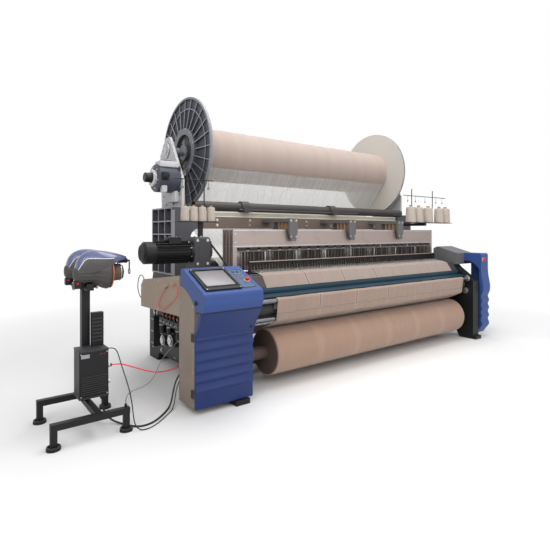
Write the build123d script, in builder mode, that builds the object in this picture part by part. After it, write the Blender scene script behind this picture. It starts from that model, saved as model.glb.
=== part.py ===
from build123d import *
import math
import os

# Terry power loom with a raised pile beam and its free-standing weft feeder stand
# X runs along the weaving width, Y from the weaver to the back, Z up, origin on the floor

# Datum: middle of the side frames and front line of the top girder
datum_x = 503.5
datum_y = 67.0

# Clearances
seat_gap = 0.3
running_gap = 0.08

# Weaving width, and how much wider the loom is than the cloth
cloth_width = 3122.0
frame_margin = 511.0
frame_gap = cloth_width + frame_margin

# Side frames
frame_thickness = 136.0
frame_front = -1076.0
frame_rear = 815.0
frame_top = 1000.0
frame_shoulder_y = -790.0
frame_shoulder = 45.0
frame_haunch = 110.0
frame_haunch_z = 680.0
frame_chin_z = 780.0
foot_height = 44.0
foot_toe = -1116.0
foot_length = 240.0
frame_belly = 95.0
window_bottom = 200.0
window_height = 560.0
window_radius = 45.0
window_centres = (-230.0, 135.0)
window_width = 250.0
frame_inner = frame_gap / 2
frame_outer = frame_inner + frame_thickness

# Cross beams: y, z, depth and height of each section
cross_beam_sections = (
    (-420.0, 160.0, 120.0, 120.0),
    (70.0, 860.0, 110.0, 130.0),
    (755.0, 118.0, 100.0, 80.0),
)

# Cloth and rollers, places in the side view
cloth_x = 111.5
cloth_thickness = 3.0
takeup_y = -890.0
takeup_z = 740.0
takeup_radius = 75.0
journal_radius = 30.0
roller_side_gap = 8.0
journal_inset = 20.0
rod_radius = 21.5
upper_rod_y = -992.0
upper_rod_z = 817.0
lower_rod_y = -970.0
lower_rod_z = 652.0
roll_y = -818.0
roll_z = 311.0
roll_radius = 217.0
core_radius = 60.0
end_disc_radius = 206.0
end_disc_thickness = 8.0

# Breast beam
breast_y = -760.0
breast_z = 1015.0
breast_edge = 14.0
breast_low_y = -852.0
breast_low_z = 893.0
breast_low_edge = 8.0
breast_rear_y = -705.0
breast_underside = 872.0
fell_y = -692.0
fell_z = 1048.0
strip_front_y = -984.0
strip_front_z = 854.0
strip_flange = 70.0
strip_thickness = 4.0

# Sley and reed
sley_y = -500.0
sley_z = 470.0
sley_shaft_radius = 50.0
sley_beam_y = -560.0
sley_beam_z = 990.0
sley_beam_depth = 74.0
sley_beam_height = 70.0
sword_count = 4
sword_width = 60.0
sword_depth = 66.0
reed_thickness = 9.0
reed_cap_depth = 24.0
reed_cap_height = 22.0
reed_top = 1157.0
dent_count = 84
dent_gap = 14.0
sley_margin = 126.5
sley_half_length = frame_inner - sley_margin
sley_end_margin = 160.0
sley_beam_margin = 100.0
nozzle_reach = 150.0
nozzle_rise = 38.0
nozzle_length = 120.0
nozzle_foot_inset = 10.0
nozzle_foot = 30.0
reed_rail = 18.0
reed_overhang = 20.0
reed_cap_round = 6.0

# Heald frames
heald_count = 4
heald_front_y = -435.0
heald_pitch = 60.0
heald_thickness = 26.0
heald_margin = 249.0
heald_width = frame_gap - heald_margin
heald_top = 1479.0
heald_rail_height = 187.0
heald_bottom = 690.0
heald_foot_height = 78.0
heald_stay_width = 46.0
heald_bar_height = 16.0
heald_bar_thickness = 8.0
heald_bar_drop = 36.0
heald_wire_count = 30
heald_wire_width = 3.0
heald_rear_gap = 10.0
heald_hook_pitch = 564.0
heald_hook_width = 14.0
guide_height = 150.0
guide_grip = 24.0
comb_wall = 20.0

# Top girder and its arms
girder_front = 20.0
girder_depth = 80.0
girder_bottom = 1487.0
girder_height = 129.0
girder_wall = 8.0
arm_top = 1680.0
arm_arch = 104.0
arm_reach = 151.0

# Frame guides over the healds
bracket_centres = (-841.0, 86.0, 1016.0)
bracket_width = 118.0
bracket_front_y = -472.0
bracket_plate = 28.0
bracket_bar_bottom = 1560.0
bracket_bar_height = 40.0
bracket_front_bottom = 1352.0
bracket_rear_bottom = 1400.0
bracket_taper = 26.0
slat_thickness = 12.0
slat_bottom = 1436.0
slat_width = 96.0

# Beam stands
beam_x = -25.0
stand_front = 100.0
stand_depth = 540.0
stand_width = 176.0
stand_top = 1711.0
pocket_columns = 3
pocket_rows = 5
pocket_depth = 56.0
pocket_rib = 14.0
pocket_wall = 20.0
stand_overhang = 131.5
shaft_overhang = 20.0
plate_thickness = 30.0
plate_step = 19.5
plate_shoulder = 300.0
plate_crown = 142.0
plate_crown_front = 72.0
plate_crown_rear = 22.0
plate_haunch = 190.0
plate_haunch_drop = 40.0
plate_offset = frame_inner + plate_step
bearing_radius = 45.0
pile_y = 500.0

# Pile beam
flange_radius = 628.0
flange_web = 10.0
flange_depth = 50.0
flange_rim = 24.0
flange_ribs = 24
rib_thickness = 9.0
hub_ring_outer = 285.0
hub_ring_inner = 205.0
middle_ring_radius = 496.0
hub_boss_radius = 92.0
hub_windows = 6
window_margin = 10.0
window_half = 62.0
beam_margin = 428.0
beam_width = frame_gap - beam_margin
barrel_radius = 75.0
pile_radius = 310.0

# Ground beam and back rest
ground_y = 620.0
ground_z = 560.0
ground_flange_radius = 400.0
ground_warp_radius = 330.0
ground_flange_thickness = 18.0
ground_side_gap = 60.0
back_rest_y = 430.0
back_rest_z = 1085.0
back_rest_radius = 60.0
sheet_thickness = 1.5
pile_guide_y = 584.0
pile_guide_drop = 71.0
pile_guide_z = stand_top - pile_guide_drop
pile_guide_radius = 48.0
sheet_end_z = 1092.0

# Tension tube on the girder arms
tube_radius = 52.5
tube_y = 60.0
tube_margin = 76.5
tube_half_length = frame_inner - tube_margin
tube_z = arm_top + seat_gap + tube_radius
clamp_centres = (-1130.0, 250.0)
clamp_width = 110.0
clamp_wall = 16.0
tension_rod_radius = 12.0
tension_rod_drop = 34.0

# The pile beam's flanges clear the tension tube
flange_clearance = 94.7
pile_rise = math.sqrt((flange_radius + tube_radius + flange_clearance) ** 2 - (pile_y - tube_y) ** 2)
pile_z = tube_z + pile_rise

# Let-off gear motor on the left bearing plate
letoff_y = 262.0
letoff_drop = 351.0
letoff_z = pile_z - letoff_drop
letoff_radius = 148.0
letoff_length = 240.0
letoff_ring = 82.0
letoff_edge = 14.0
letoff_collar = 24.0
letoff_nose = 76.0
letoff_cap = 8.0
letoff_notches = 12
letoff_notch = 12.0
letoff_lug = 52.0
letoff_lug_thickness = 18.0
letoff_box_length = 110.0
letoff_box_width = 84.0
letoff_box_rise = 46.0

# Shedding motor and gearbox
motor_y = -383.0
motor_z = 1262.0
motor_radius = 104.0
motor_length = 380.0
fan_length = 92.0
motor_fins = 20
gearbox_width = 166.0
gearbox_depth = 190.0
gearbox_bottom = 1103.0
gearbox_top = 1403.0
gearbox_reach = 64.0
gearbox_offset = frame_outer + gearbox_reach
motor_flange = 26.0
motor_fin_depth = 14.0
motor_fin_width = 4.0
motor_cowl_inset = 4.0
motor_cowl_cone = 22.0
motor_cowl_drop = 30.0
motor_box_length = 120.0
motor_box_width = 96.0
motor_box_rise = 32.0
gearbox_chamfer = 16.0
gearbox_foot = 96.0
gearbox_cover_radius = 84.0
gearbox_cover_depth = 30.0

# Control cabinet on the left
case_gap = 17.0
cabinet_body_width = 350.0
cabinet_outer = frame_outer + case_gap + cabinet_body_width
cabinet_width = 541.0
cabinet_wall = 4.0
cabinet_bottom = 51.0
case_rim = 30.0
case_back_wall = 24.0
case_opening_z = 415.0
case_opening_height = 620.0
cabinet_rear = -806.0
hood_rear = -834.0
hood_ledge = 40.0
hood_top = 1145.0
hood_brow_y = -1254.0
hood_brow_z = 974.0
hood_chin_y = -1263.0
hood_chin_z = 890.0
hood_bottom_y = -1231.0
hood_bottom = 828.0
arc_front_y = -1111.0
arc_rear_z = 1003.0
hood_arc_middle = (-960.0, 962.0)
hood_brow_round = 40.0
door_top = 820.0
door_back = -1084.0
door_neck_y = -1133.0
door_neck_z = 650.0
ridge_top = 619.0
ridge_pitch = 103.0
ridge_count = 5
ridge_depth = 17.0
door_face_y = -1101.0
hinge_zs = (615.0, 170.0)
hinge_block = 34.0
hinge_height = 62.0
hinge_proud = 12.0

# Console on the hood's slope
screen_length = 330.0
screen_height = 338.0
screen_thickness = 14.0
screen_corner = 10.0
screen_border = 25.0
screen_brow = 48.0
screen_recess = 3.0
screen_inset = 200.5
screen_centre_x = screen_inset - cabinet_outer
screen_down = 205.0
keys_length = 134.0
keys_height = 300.0
keys_thickness = 3.0
keys_corner = 12.0
keys_inset = 439.5
keys_centre_x = keys_inset - cabinet_outer
keys_down = 215.0
hood_lock_y = -1115.0
hood_lock_z = 893.0
hood_lock_radius = 13.0
hood_lock_proud = 9.0
estop_inset = 469.5
estop_x = estop_inset - cabinet_outer
estop_down = 262.0
estop_collar = 26.0
estop_collar_height = 12.0
estop_head = 20.0
estop_head_height = 16.0
estop_stem = 11.0
estop_travel = 6.0
estop_rest = 7.0
estop_edge = 5.0
key_size = 26.0
key_pitch = 42.0
key_rise = 2.0
key_corner = 6.0
key_margin = 62.0

# Right cover
cover_gap = 45.0
cover_inner = frame_outer + cover_gap
cover_width = 185.0
cover_rear = -843.0
cover_top = 1155.0
cover_front = -1090.0
cover_brow = 1138.0
cover_arc_rear_z = 1045.0
cover_arc_front_z = 955.0
cover_bottom = 55.0
cover_toe_y = -1028.0
cover_straight_z = 1000.0
cover_arc_middle = (-985.0, 1012.0)
cover_shell = 24.0
cover_swell = 12.0
estop_right_inset = 47.0
estop_right_x = cover_inner + estop_right_inset
estop_right_z = 1071.0
hump_rear = -467.0
hump_rear_top = 1242.0
hump_ridge = 60.0
hump_edge = 30.0
hump_round = 20.0

# Guard box beside the left frame
guard_rear = 90.0
guard_front_top = 1085.0
guard_rear_top = 985.0
guard_front_bottom = 745.0
guard_rear_bottom = 715.0
guard_chamfer = 60.0
hose_spigot_height = 30.0
elbow_size = 26.0

# Air unit under the guard box
unit_inset = 189.5
unit_plate_x = unit_inset - cabinet_outer
unit_plate_thickness = 12.0
unit_front = -740.0
unit_rear = 134.0
unit_top = 690.0
unit_front_bottom = 215.0
unit_rear_bottom = 285.0
unit_slab_front = 40.0
unit_slab_depth = 66.0
unit_arm_size = 44.0
unit_arm_rear = -48.0
manifold_drop = 130.0
manifold_height = 60.0
manifold_depth = 66.0
valve_height = 58.0
bowl_height = 104.0
socket_radius = 12.0
unit_slab_top = 600.0
regulator_places = ((-330.0, 430.0, 68.0), (-150.0, 400.0, 60.0))
regulator_length = 58.0
bowl_ys = (-440.0, -236.0, -60.0)
bowl_radius = 26.0
valve_count = 5
valve_pitch = 84.0
spigot_length = 25.0
spigot_wall = 4.0

# Yarn cones and their stands
small_cone_height = 134.0
small_cone_radius = 43.0
small_cone_places = (-250.5, -159.5, -68.5, 25.5)
small_cone_xs = [place - frame_inner for place in small_cone_places]
large_cone_height = 212.0
large_cone_radius = 74.0
large_cone_places = (-416.5, -236.5, -5.5, 275.5, 435.5)
large_cone_xs = [frame_inner + place for place in large_cone_places]
left_tray_z = 1545.0
right_tray_z = 1580.0
tray_y = -380.0
tray_depth = 130.0
tray_thickness = 8.0
left_cross_z = 1959.0
right_cross_z = 1972.0
wire_radius = 6.0
wire_rise = 90.0
eye_drop = 70.0
eye_wire = 2.5
eye_stem = 1.8
eye_radius = 11.0

# Weft feeder stand, placed from the cabinet's outer face
stand_reach = 690.5
stand_x = -cabinet_outer - stand_reach
base_left_reach = 315.0
base_right_reach = 210.0
base_foot_radius = 46.0
base_foot_height = 16.0
base_corner = 8.0
post_y = -600.0
post_size = 60.0
post_top = 1010.0
base_bar = 44.0
base_bar_z = 150.0
base_front_y = -1000.0
base_rear_y = -470.0
base_left = stand_x - base_left_reach
base_right = stand_x + base_right_reach
control_left_reach = 87.0
control_left = stand_x - control_left_reach
control_corner = 5.0
control_width = 208.0
control_depth = 170.0
control_bottom = 218.0
control_height = 355.0
supply_width = 88.0
supply_depth = 52.0
supply_height = 258.0
supply_edge = 6.0
supply_rear_margin = 40.0
supply_corner = 10.0
clip_radius = 9.0
feeder_ys = (-700.0, -400.0)
feeder_z = 1135.0
tee_size = 50.0
disc_radius = 90.0
disc_thickness = 12.0
drum_radius = 66.0
drum_length = 66.0
feeder_shaft = 12.0
feeder_mouth_reach = 159.0
feeder_mouth_x = stand_x + feeder_mouth_reach
tee_overhang = 60.0
tee_sleeve_radius = 24.0
tee_sleeve_half = 90.0
drum_edge = 6.0
drum_taper = 16.0

# Feeder housing and its saddle: each place is (distance behind the mouth, distance from the axis)
housing_tail = ((262.0, 44.0), (236.0, 62.0))
housing_waist = (60.0, 40.0)
housing_bell = ((70.0, 112.0), (36.0, 124.0), (14.0, 118.0))
saddle_length = 258.0
saddle_crown = ((230.0, 140.0), (130.0, 178.0), (10.0, 160.0))
saddle_tail_heights = (20.0, 40.0)
saddle_belly = (20.0, 96.0)
saddle_beak = 50.0
saddle_beak_heights = (122.0, 92.0)
feeder_arm = 100.0
nose_width = 26.0
nose_depth = 22.0
nose_reach = 52.0
nose_eye = 15.0
nose_wall = 7.0

# Cords: diameters and hand-set routes, with x measured from the cabinet's outer face


def beside_cabinet(*points):
    return tuple((x - cabinet_outer, y, z) for x, y, z in points)


red_tube_diameter = 10.0
red_tube_route = beside_cabinet(
    (-544.5, -785.0, 437.0),
    (-482.5, -785.0, 437.0),
    (-382.5, -793.0, 392.0),
    (-280.5, -785.0, 342.0),
    (-180.5, -770.0, 303.0),
    (-80.5, -752.0, 293.0),
    (19.5, -735.0, 300.0),
    (99.5, -722.0, 315.0),
    (164.5, -722.0, 315.0),
)
signal_cable_diameter = 6.0
signal_cable_route = beside_cabinet(
    (164.5, -732.0, 560.0),
    (106.5, -732.0, 560.0),
    (24.5, -752.0, 533.0),
    (-55.5, -785.0, 492.0),
    (-130.5, -818.0, 447.0),
    (-188.5, -843.0, 390.0),
    (-220.5, -857.0, 326.0),
    (-270.5, -878.0, 280.0),
    (-340.5, -910.0, 262.0),
    (-408.5, -940.0, 262.0),
    (-458.5, -965.0, 262.0),
    (-494.5, -984.0, 245.0),
    (-502.5, -988.0, 211.0),
    (-502.5, -988.0, 192.0),
)
stand_cable_diameter = 8.0
stand_cable_route = beside_cabinet(
    (-544.5, -680.0, 540.0),
    (-504.5, -680.0, 540.0),
    (-480.5, -714.0, 520.0),
    (-480.5, -764.0, 478.0),
    (-480.5, -845.0, 412.0),
    (-476.5, -930.0, 338.0),
    (-470.5, -992.0, 262.0),
    (-463.5, -1016.0, 178.0),
    (-460.5, -1032.0, 98.0),
    (-454.5, -1048.0, 45.0),
    (-432.5, -1070.0, 12.0),
    (-392.5, -1082.0, 4.0),
    (-320.5, -1062.0, 4.0),
    (-240.5, -1005.0, 4.0),
    (-158.5, -930.0, 4.0),
    (-92.5, -868.0, 4.0),
    (-62.5, -838.0, 26.0),
    (-44.5, -820.0, 66.0),
    (-28.5, -804.0, 124.0),
    (5.5, -776.0, 180.0),
    (53.5, -750.0, 228.0),
    (107.5, -738.0, 258.0),
    (164.5, -738.0, 258.0),
)
floor_cable_diameter = 14.0
floor_cable_route = beside_cabinet(
    (-605.5, -760.0, 188.0),
    (-605.5, -760.0, 125.0),
    (-585.5, -786.0, 62.0),
    (-538.5, -832.0, 18.0),
    (-486.5, -905.0, 8.0),
    (-442.5, -985.0, 8.0),
    (-385.5, -1020.0, 8.0),
    (-310.5, -1008.0, 8.0),
    (-225.5, -950.0, 8.0),
    (-140.5, -866.0, 8.0),
    (-85.5, -812.0, 20.0),
    (-52.5, -780.0, 62.0),
    (-30.5, -758.0, 125.0),
    (1.5, -735.0, 188.0),
    (49.5, -710.0, 235.0),
    (107.5, -692.0, 258.0),
    (164.5, -692.0, 258.0),
)
motor_hose_diameter = 8.0
motor_hose_route = beside_cabinet(
    (29.5, 81.3, 976.3),
    (29.5, 111.3, 1006.3),
    (23.5, 150.0, 1020.0),
    (15.5, 182.0, 1000.0),
    (10.5, 200.0, 955.0),
    (7.5, 206.0, 885.0),
    (19.5, 196.0, 810.0),
    (53.5, 176.0, 748.0),
    (103.5, 146.0, 710.0),
    (139.5, 118.0, 682.0),
    (153.5, 101.0, 650.0),
    (153.5, 101.0, 620.0),
)
hose_spigot_x = motor_hose_route[0][0]
air_loop_diameter = 6.0
air_loop_route = (
    (-562.0, 967.0),
    (-510.0, 918.0),
    (-450.0, 870.0),
    (-405.0, 825.0),
    (-390.0, 785.0),
    (-415.0, 755.0),
    (-470.0, 752.0),
    (-560.0, 785.0),
    (-650.0, 835.0),
    (-740.0, 880.0),
    (-790.0, 918.0),
    (-800.0, 955.0),
    (-775.0, 985.0),
    (-728.0, 995.0),
)

os.makedirs("parts", exist_ok=True)


# Planes measured from the datum


def side_plane(x):
    """Across the loom, drawn as (y, z), extruding towards +X."""
    return Plane(origin=(datum_x + x, datum_y, 0), x_dir=(0, 1, 0), z_dir=(1, 0, 0))


def front_plane(y):
    """Along the loom, drawn as (x, z), extruding towards the weaver."""
    return Plane(origin=(datum_x, datum_y + y, 0), x_dir=(1, 0, 0), z_dir=(0, -1, 0))


def floor_plane(z):
    """Level, drawn as (x, y), extruding upwards."""
    return Plane(origin=(datum_x, datum_y, z), x_dir=(1, 0, 0), z_dir=(0, 0, 1))


def turning_plane(y, z):
    """Holds the roller axis at (y, z), drawn as (x, radius)."""
    return Plane(origin=(datum_x, datum_y + y, z), x_dir=(1, 0, 0), z_dir=(0, -1, 0))


def roller_axis(y, z):
    return Axis((datum_x, datum_y + y, z), (1, 0, 0))


def save(builder, label):
    """Label one finished piece and write it."""
    builder.part.label = label
    export_step(builder.part, f"parts/{label}.step")


def turned(profile, y, z):
    """A roller turned about its axis along X, from (x, radius) points."""
    with BuildPart() as roller:
        with BuildSketch(turning_plane(y, z)):
            Polygon(*profile, align=None)
        revolve(axis=roller_axis(y, z))
    return roller


# Sheets drawn round rollers: a station is (y, z, radius), with a negative radius
# where the roller lies on the left of the way the sheet runs


def tangent_line(first, second):
    """Ends of the straight run between two stations, and its normal."""
    y1, z1, r1 = first
    y2, z2, r2 = second
    length = math.hypot(y2 - y1, z2 - z1)
    heading = math.atan2(z2 - z1, y2 - y1) - math.asin((r1 - r2) / length)
    normal = (-math.sin(heading), math.cos(heading))
    start = (y1 + normal[0] * r1, z1 + normal[1] * r1)
    end = (y2 + normal[0] * r2, z2 + normal[1] * r2)
    return start, end, normal


def sheet_side(stations, shift):
    """One face of a sheet: straight runs and arcs, as point lists."""
    moved = [(y, z, r + shift) for y, z, r in stations]
    runs = [tangent_line(a, b) for a, b in zip(moved, moved[1:])]
    edges = []
    for index, (start, end, normal) in enumerate(runs):
        if index:
            y, z, radius = moved[index]
            before = runs[index - 1]
            angle = math.atan2(before[2][1], before[2][0])
            turn = math.atan2(normal[1], normal[0]) - angle
            turn = turn % math.tau if radius < 0 else -(-turn % math.tau)
            half = angle + turn / 2
            middle = (y + math.cos(half) * radius, z + math.sin(half) * radius)
            edges.append((before[1], middle, start))
        edges.append((start, end))
    return edges


def sheet(stations, thickness, x_low, width):
    """A cloth or warp sheet of even thickness, wrapped round its rollers."""
    upper = sheet_side(stations, thickness / 2)
    lower = sheet_side(stations, -thickness / 2)
    with BuildPart() as cloth:
        with BuildSketch(side_plane(x_low)):
            with BuildLine():
                for points in upper + lower:
                    if len(points) == 2:
                        Line(*points)
                    else:
                        ThreePointArc(*points)
                Line(upper[0][0], lower[0][0])
                Line(upper[-1][-1], lower[-1][-1])
            make_face()
        extrude(amount=width)
    return cloth


# Side frames: cast plates with feet, windows and bearing bores

frame_outline = [
    (foot_toe, 0),
    (foot_toe + foot_length, 0),
    (foot_toe + foot_length + frame_belly / 2, frame_belly),
    (frame_rear - foot_length - frame_belly / 2, frame_belly),
    (frame_rear - foot_length, 0),
    (frame_rear, 0),
    (frame_rear, frame_haunch_z),
    (frame_rear - frame_haunch, frame_top),
    (frame_shoulder_y, frame_top),
    (frame_shoulder_y - frame_shoulder, frame_top - frame_shoulder),
    (frame_front, frame_chin_z),
    (frame_front, foot_height),
    (foot_toe, foot_height),
]
frame_bores = [
    (takeup_y, takeup_z, journal_radius),
    (roll_y, roll_z, journal_radius),
    (sley_y, sley_z, journal_radius),
    (ground_y, ground_z, journal_radius),
]


def side_frame(x_low):
    with BuildPart() as casting:
        with BuildSketch(side_plane(x_low)):
            Polygon(*frame_outline, align=None)
            for centre in window_centres:
                with Locations((centre, window_bottom + window_height / 2)):
                    RectangleRounded(window_width, window_height, window_radius, mode=Mode.SUBTRACT)
            for y, z, radius in frame_bores:
                with Locations((y, z)):
                    Circle(radius + running_gap, mode=Mode.SUBTRACT)
        extrude(amount=frame_thickness)
    return casting


side_frame_left = side_frame(-frame_outer)
save(side_frame_left, "side_frame_left")
side_frame_right = side_frame(frame_inner)
save(side_frame_right, "side_frame_right")

# Cross beams that tie the side frames

with BuildPart() as cross_beams:
    with BuildSketch(side_plane(-frame_inner)):
        for y, z, depth, height in cross_beam_sections:
            with Locations((y, z)):
                Rectangle(depth, height)
                Rectangle(depth - 2 * girder_wall, height - 2 * girder_wall, mode=Mode.SUBTRACT)
    extrude(amount=frame_gap)
save(cross_beams, "cross_beams")

# Breast beam: the cloth turns down over its rounded edge

breast_corner = tangent_line(
    (breast_y, breast_z, -breast_edge), (breast_low_y, breast_low_z, -breast_low_edge)
)

with BuildPart() as breast_beam:
    with BuildSketch(side_plane(-frame_inner)):
        Polygon(
            (breast_rear_y, breast_z + breast_edge - 4),
            (breast_y, breast_z + breast_edge),
            (breast_y, breast_z),
            (breast_low_y, breast_low_z),
            (breast_low_y, breast_low_z - breast_low_edge),
            (breast_low_y + 20, breast_underside),
            (breast_rear_y, breast_underside),
            align=None,
        )
        Polygon(
            breast_corner[0],
            breast_corner[1],
            (breast_low_y, breast_low_z),
            (breast_y, breast_z),
            align=None,
        )
        with Locations((breast_y, breast_z)):
            Circle(breast_edge)
        with Locations((breast_low_y, breast_low_z)):
            Circle(breast_low_edge)
    extrude(amount=frame_gap)
save(breast_beam, "breast_beam")

# Folded guard strip under the breast beam

with BuildPart() as guard_strip:
    with BuildSketch(side_plane(-frame_inner)):
        Polygon(
            (breast_low_y + 20 + strip_flange, breast_underside),
            (breast_low_y + 20, breast_underside),
            (strip_front_y, strip_front_z),
            (strip_front_y, strip_front_z - strip_thickness),
            (breast_low_y + 20, breast_underside - strip_thickness),
            (breast_low_y + 20 + strip_flange, breast_underside - strip_thickness),
            align=None,
        )
    extrude(amount=frame_gap)
save(guard_strip, "guard_strip")

# Cloth over the breast beam

cloth_left = cloth_x - cloth_width / 2
cloth_off = seat_gap + cloth_thickness / 2

cloth_upper = sheet(
    [
        (fell_y, fell_z, 0),
        (breast_y, breast_z, -breast_edge - cloth_off),
        (breast_low_y, breast_low_z, -breast_low_edge - cloth_off),
        (breast_low_y - 8, breast_underside + 5, 0),
    ],
    cloth_thickness,
    cloth_left,
    cloth_width,
)
save(cloth_upper, "cloth_upper")

# Cloth from the take-up roller over the two rods and on to the roll

cloth_lower = sheet(
    [
        (takeup_y, takeup_z, takeup_radius + cloth_off),
        (upper_rod_y, upper_rod_z, -rod_radius - cloth_off),
        (lower_rod_y, lower_rod_z, -rod_radius - cloth_off),
        (roll_y, roll_z, roll_radius + cloth_off),
    ],
    cloth_thickness,
    cloth_left,
    cloth_width,
)
save(cloth_lower, "cloth_lower")

# Take-up roller, cloth rods and the cloth roll

roller_end = frame_inner - roller_side_gap
journal_end = frame_outer - journal_inset

takeup_roller = turned(
    [
        (-journal_end, 0),
        (-journal_end, journal_radius),
        (-roller_end, journal_radius),
        (-roller_end, takeup_radius),
        (roller_end, takeup_radius),
        (roller_end, journal_radius),
        (journal_end, journal_radius),
        (journal_end, 0),
    ],
    takeup_y,
    takeup_z,
)
save(takeup_roller, "takeup_roller")

with BuildPart() as cloth_rods:
    with BuildSketch(side_plane(-frame_inner)):
        with Locations((upper_rod_y, upper_rod_z), (lower_rod_y, lower_rod_z)):
            Circle(rod_radius)
    extrude(amount=frame_gap)
save(cloth_rods, "cloth_rods")

cloth_right = cloth_left + cloth_width

cloth_core = turned(
    [
        (-journal_end, 0),
        (-journal_end, journal_radius),
        (-frame_inner + 60, journal_radius),
        (-frame_inner + 60, core_radius),
        (cloth_left - seat_gap - end_disc_thickness, core_radius),
        (cloth_left - seat_gap - end_disc_thickness, end_disc_radius),
        (cloth_left - seat_gap, end_disc_radius),
        (cloth_left - seat_gap, core_radius),
        (cloth_right + seat_gap, core_radius),
        (cloth_right + seat_gap, end_disc_radius),
        (cloth_right + seat_gap + end_disc_thickness, end_disc_radius),
        (cloth_right + seat_gap + end_disc_thickness, core_radius),
        (frame_inner - 30, core_radius),
        (frame_inner - 30, journal_radius),
        (journal_end, journal_radius),
        (journal_end, 0),
    ],
    roll_y,
    roll_z,
)
save(cloth_core, "cloth_core")

cloth_roll = turned(
    [
        (cloth_left, core_radius + seat_gap),
        (cloth_left, roll_radius - 4),
        (cloth_left + 4, roll_radius),
        (cloth_right - 4, roll_radius),
        (cloth_right, roll_radius - 4),
        (cloth_right, core_radius + seat_gap),
    ],
    roll_y,
    roll_z,
)
save(cloth_roll, "cloth_roll")

# Sley: rocking shaft, swords and beam, with the main nozzle on its left end

sword_pitch = 2 * (sley_half_length - sley_end_margin) / (sword_count - 1)
nozzle_x = cloth_left - nozzle_reach
nozzle_z = sley_beam_z + sley_beam_height / 2 + nozzle_rise

with BuildPart() as sley:
    with BuildSketch(side_plane(-sley_half_length)):
        with Locations((sley_y, sley_z)):
            Circle(sley_shaft_radius)
    extrude(amount=2 * sley_half_length)
    with BuildSketch(side_plane(-journal_end)):
        with Locations((sley_y, sley_z)):
            Circle(journal_radius)
    extrude(amount=2 * journal_end)
    with BuildSketch(side_plane(sley_beam_margin - sley_half_length)):
        with Locations((sley_beam_y, sley_beam_z)):
            Rectangle(sley_beam_depth, sley_beam_height)
    extrude(amount=2 * (sley_half_length - sley_beam_margin))
    for index in range(sword_count):
        sword_x = sley_end_margin - sley_half_length + index * sword_pitch
        with BuildSketch(side_plane(sword_x - sword_width / 2)):
            Polygon(
                (sley_y - sword_depth / 2, sley_z),
                (sley_y + sword_depth / 2, sley_z),
                (sley_beam_y + sley_beam_depth / 2, sley_beam_z - sley_beam_height / 3),
                (sley_beam_y - sley_beam_depth / 2, sley_beam_z - sley_beam_height / 3),
                align=None,
            )
        extrude(amount=sword_width)
    with BuildSketch(side_plane(nozzle_x)):
        with Locations((sley_beam_y, nozzle_z)):
            Circle(9)
    extrude(amount=nozzle_length)
    with BuildSketch(side_plane(nozzle_x + nozzle_foot_inset)):
        with Locations((sley_beam_y, (nozzle_z + sley_beam_z) / 2)):
            Rectangle(14, nozzle_z - sley_beam_z)
    extrude(amount=nozzle_foot)
save(sley, "sley")

# Reed: a comb of dents between a bottom bar and a cap

reed_bottom = sley_beam_z + sley_beam_height / 2
dent_pitch = cloth_width / dent_count
dent_height = reed_top - reed_cap_height - reed_bottom - reed_rail - reed_cap_round

with BuildPart() as reed:
    with BuildSketch(front_plane(sley_beam_y + reed_thickness / 2)):
        with Locations((cloth_x, (reed_bottom + reed_top) / 2)):
            Rectangle(cloth_width + 2 * reed_overhang, reed_top - reed_bottom)
        with Locations((cloth_x, reed_bottom + reed_rail + dent_height / 2)):
            with GridLocations(dent_pitch, 1, dent_count, 1):
                Rectangle(dent_gap, dent_height, mode=Mode.SUBTRACT)
    extrude(amount=reed_thickness)
    with BuildSketch(side_plane(cloth_left - reed_overhang)):
        with Locations((sley_beam_y, reed_top - reed_cap_height / 2)):
            RectangleRounded(reed_cap_depth, reed_cap_height, reed_cap_round)
    extrude(amount=cloth_width + 2 * reed_overhang)
save(reed, "reed")

# Heald frames: rails, stays, heald bars and a few of the healds

heald_left = cloth_x - heald_width / 2
heald_window = heald_top - heald_rail_height - heald_bottom - heald_foot_height
heald_window_z = heald_bottom + heald_foot_height + heald_window / 2
upper_bar_z = heald_top - heald_rail_height - heald_bar_drop
lower_bar_z = heald_bottom + heald_foot_height + heald_bar_drop
wire_pitch = (heald_width - 2 * heald_stay_width) / (heald_wire_count + 1)
hook_count = int((heald_width - 2 * heald_stay_width) / heald_hook_pitch)


def heald_frame(centre_y):
    with BuildPart() as harness:
        with BuildSketch(front_plane(centre_y + heald_thickness / 2)):
            with Locations((cloth_x, (heald_top + heald_bottom) / 2)):
                Rectangle(heald_width, heald_top - heald_bottom)
            with Locations((cloth_x, heald_window_z)):
                Rectangle(heald_width - 2 * heald_stay_width, heald_window, mode=Mode.SUBTRACT)
        extrude(amount=heald_thickness)
        with BuildSketch(front_plane(centre_y + heald_bar_thickness / 2)):
            with Locations((cloth_x, upper_bar_z), (cloth_x, lower_bar_z)):
                Rectangle(heald_width - 2 * heald_stay_width, heald_bar_height)
            for bar_z, side in ((upper_bar_z, 1), (lower_bar_z, -1)):
                with Locations((cloth_x, bar_z + side * heald_bar_drop / 2)):
                    with GridLocations(heald_hook_pitch, 1, hook_count, 1):
                        Rectangle(heald_hook_width, heald_bar_drop)
            with Locations((cloth_x, (upper_bar_z + lower_bar_z) / 2)):
                with GridLocations(wire_pitch, 1, heald_wire_count, 1):
                    Rectangle(heald_wire_width, upper_bar_z - lower_bar_z)
        extrude(amount=heald_bar_thickness)
    return harness


heald_centres = [heald_front_y + index * heald_pitch for index in range(heald_count)]
for index, centre_y in enumerate(heald_centres):
    frame = heald_frame(centre_y)
    save(frame, f"heald_frame_{index + 1}")

# Combs on the side frames that guide the ends of the heald frames, and wooden slats above

comb_depth = heald_pitch * (heald_count - 1) + heald_thickness + 2 * comb_wall
comb_y = (heald_centres[0] + heald_centres[-1]) / 2
heald_right = heald_left + heald_width
slat_top = bracket_bar_bottom
slat_ys = [centre + heald_pitch / 2 for centre in heald_centres[:-1]]

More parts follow.
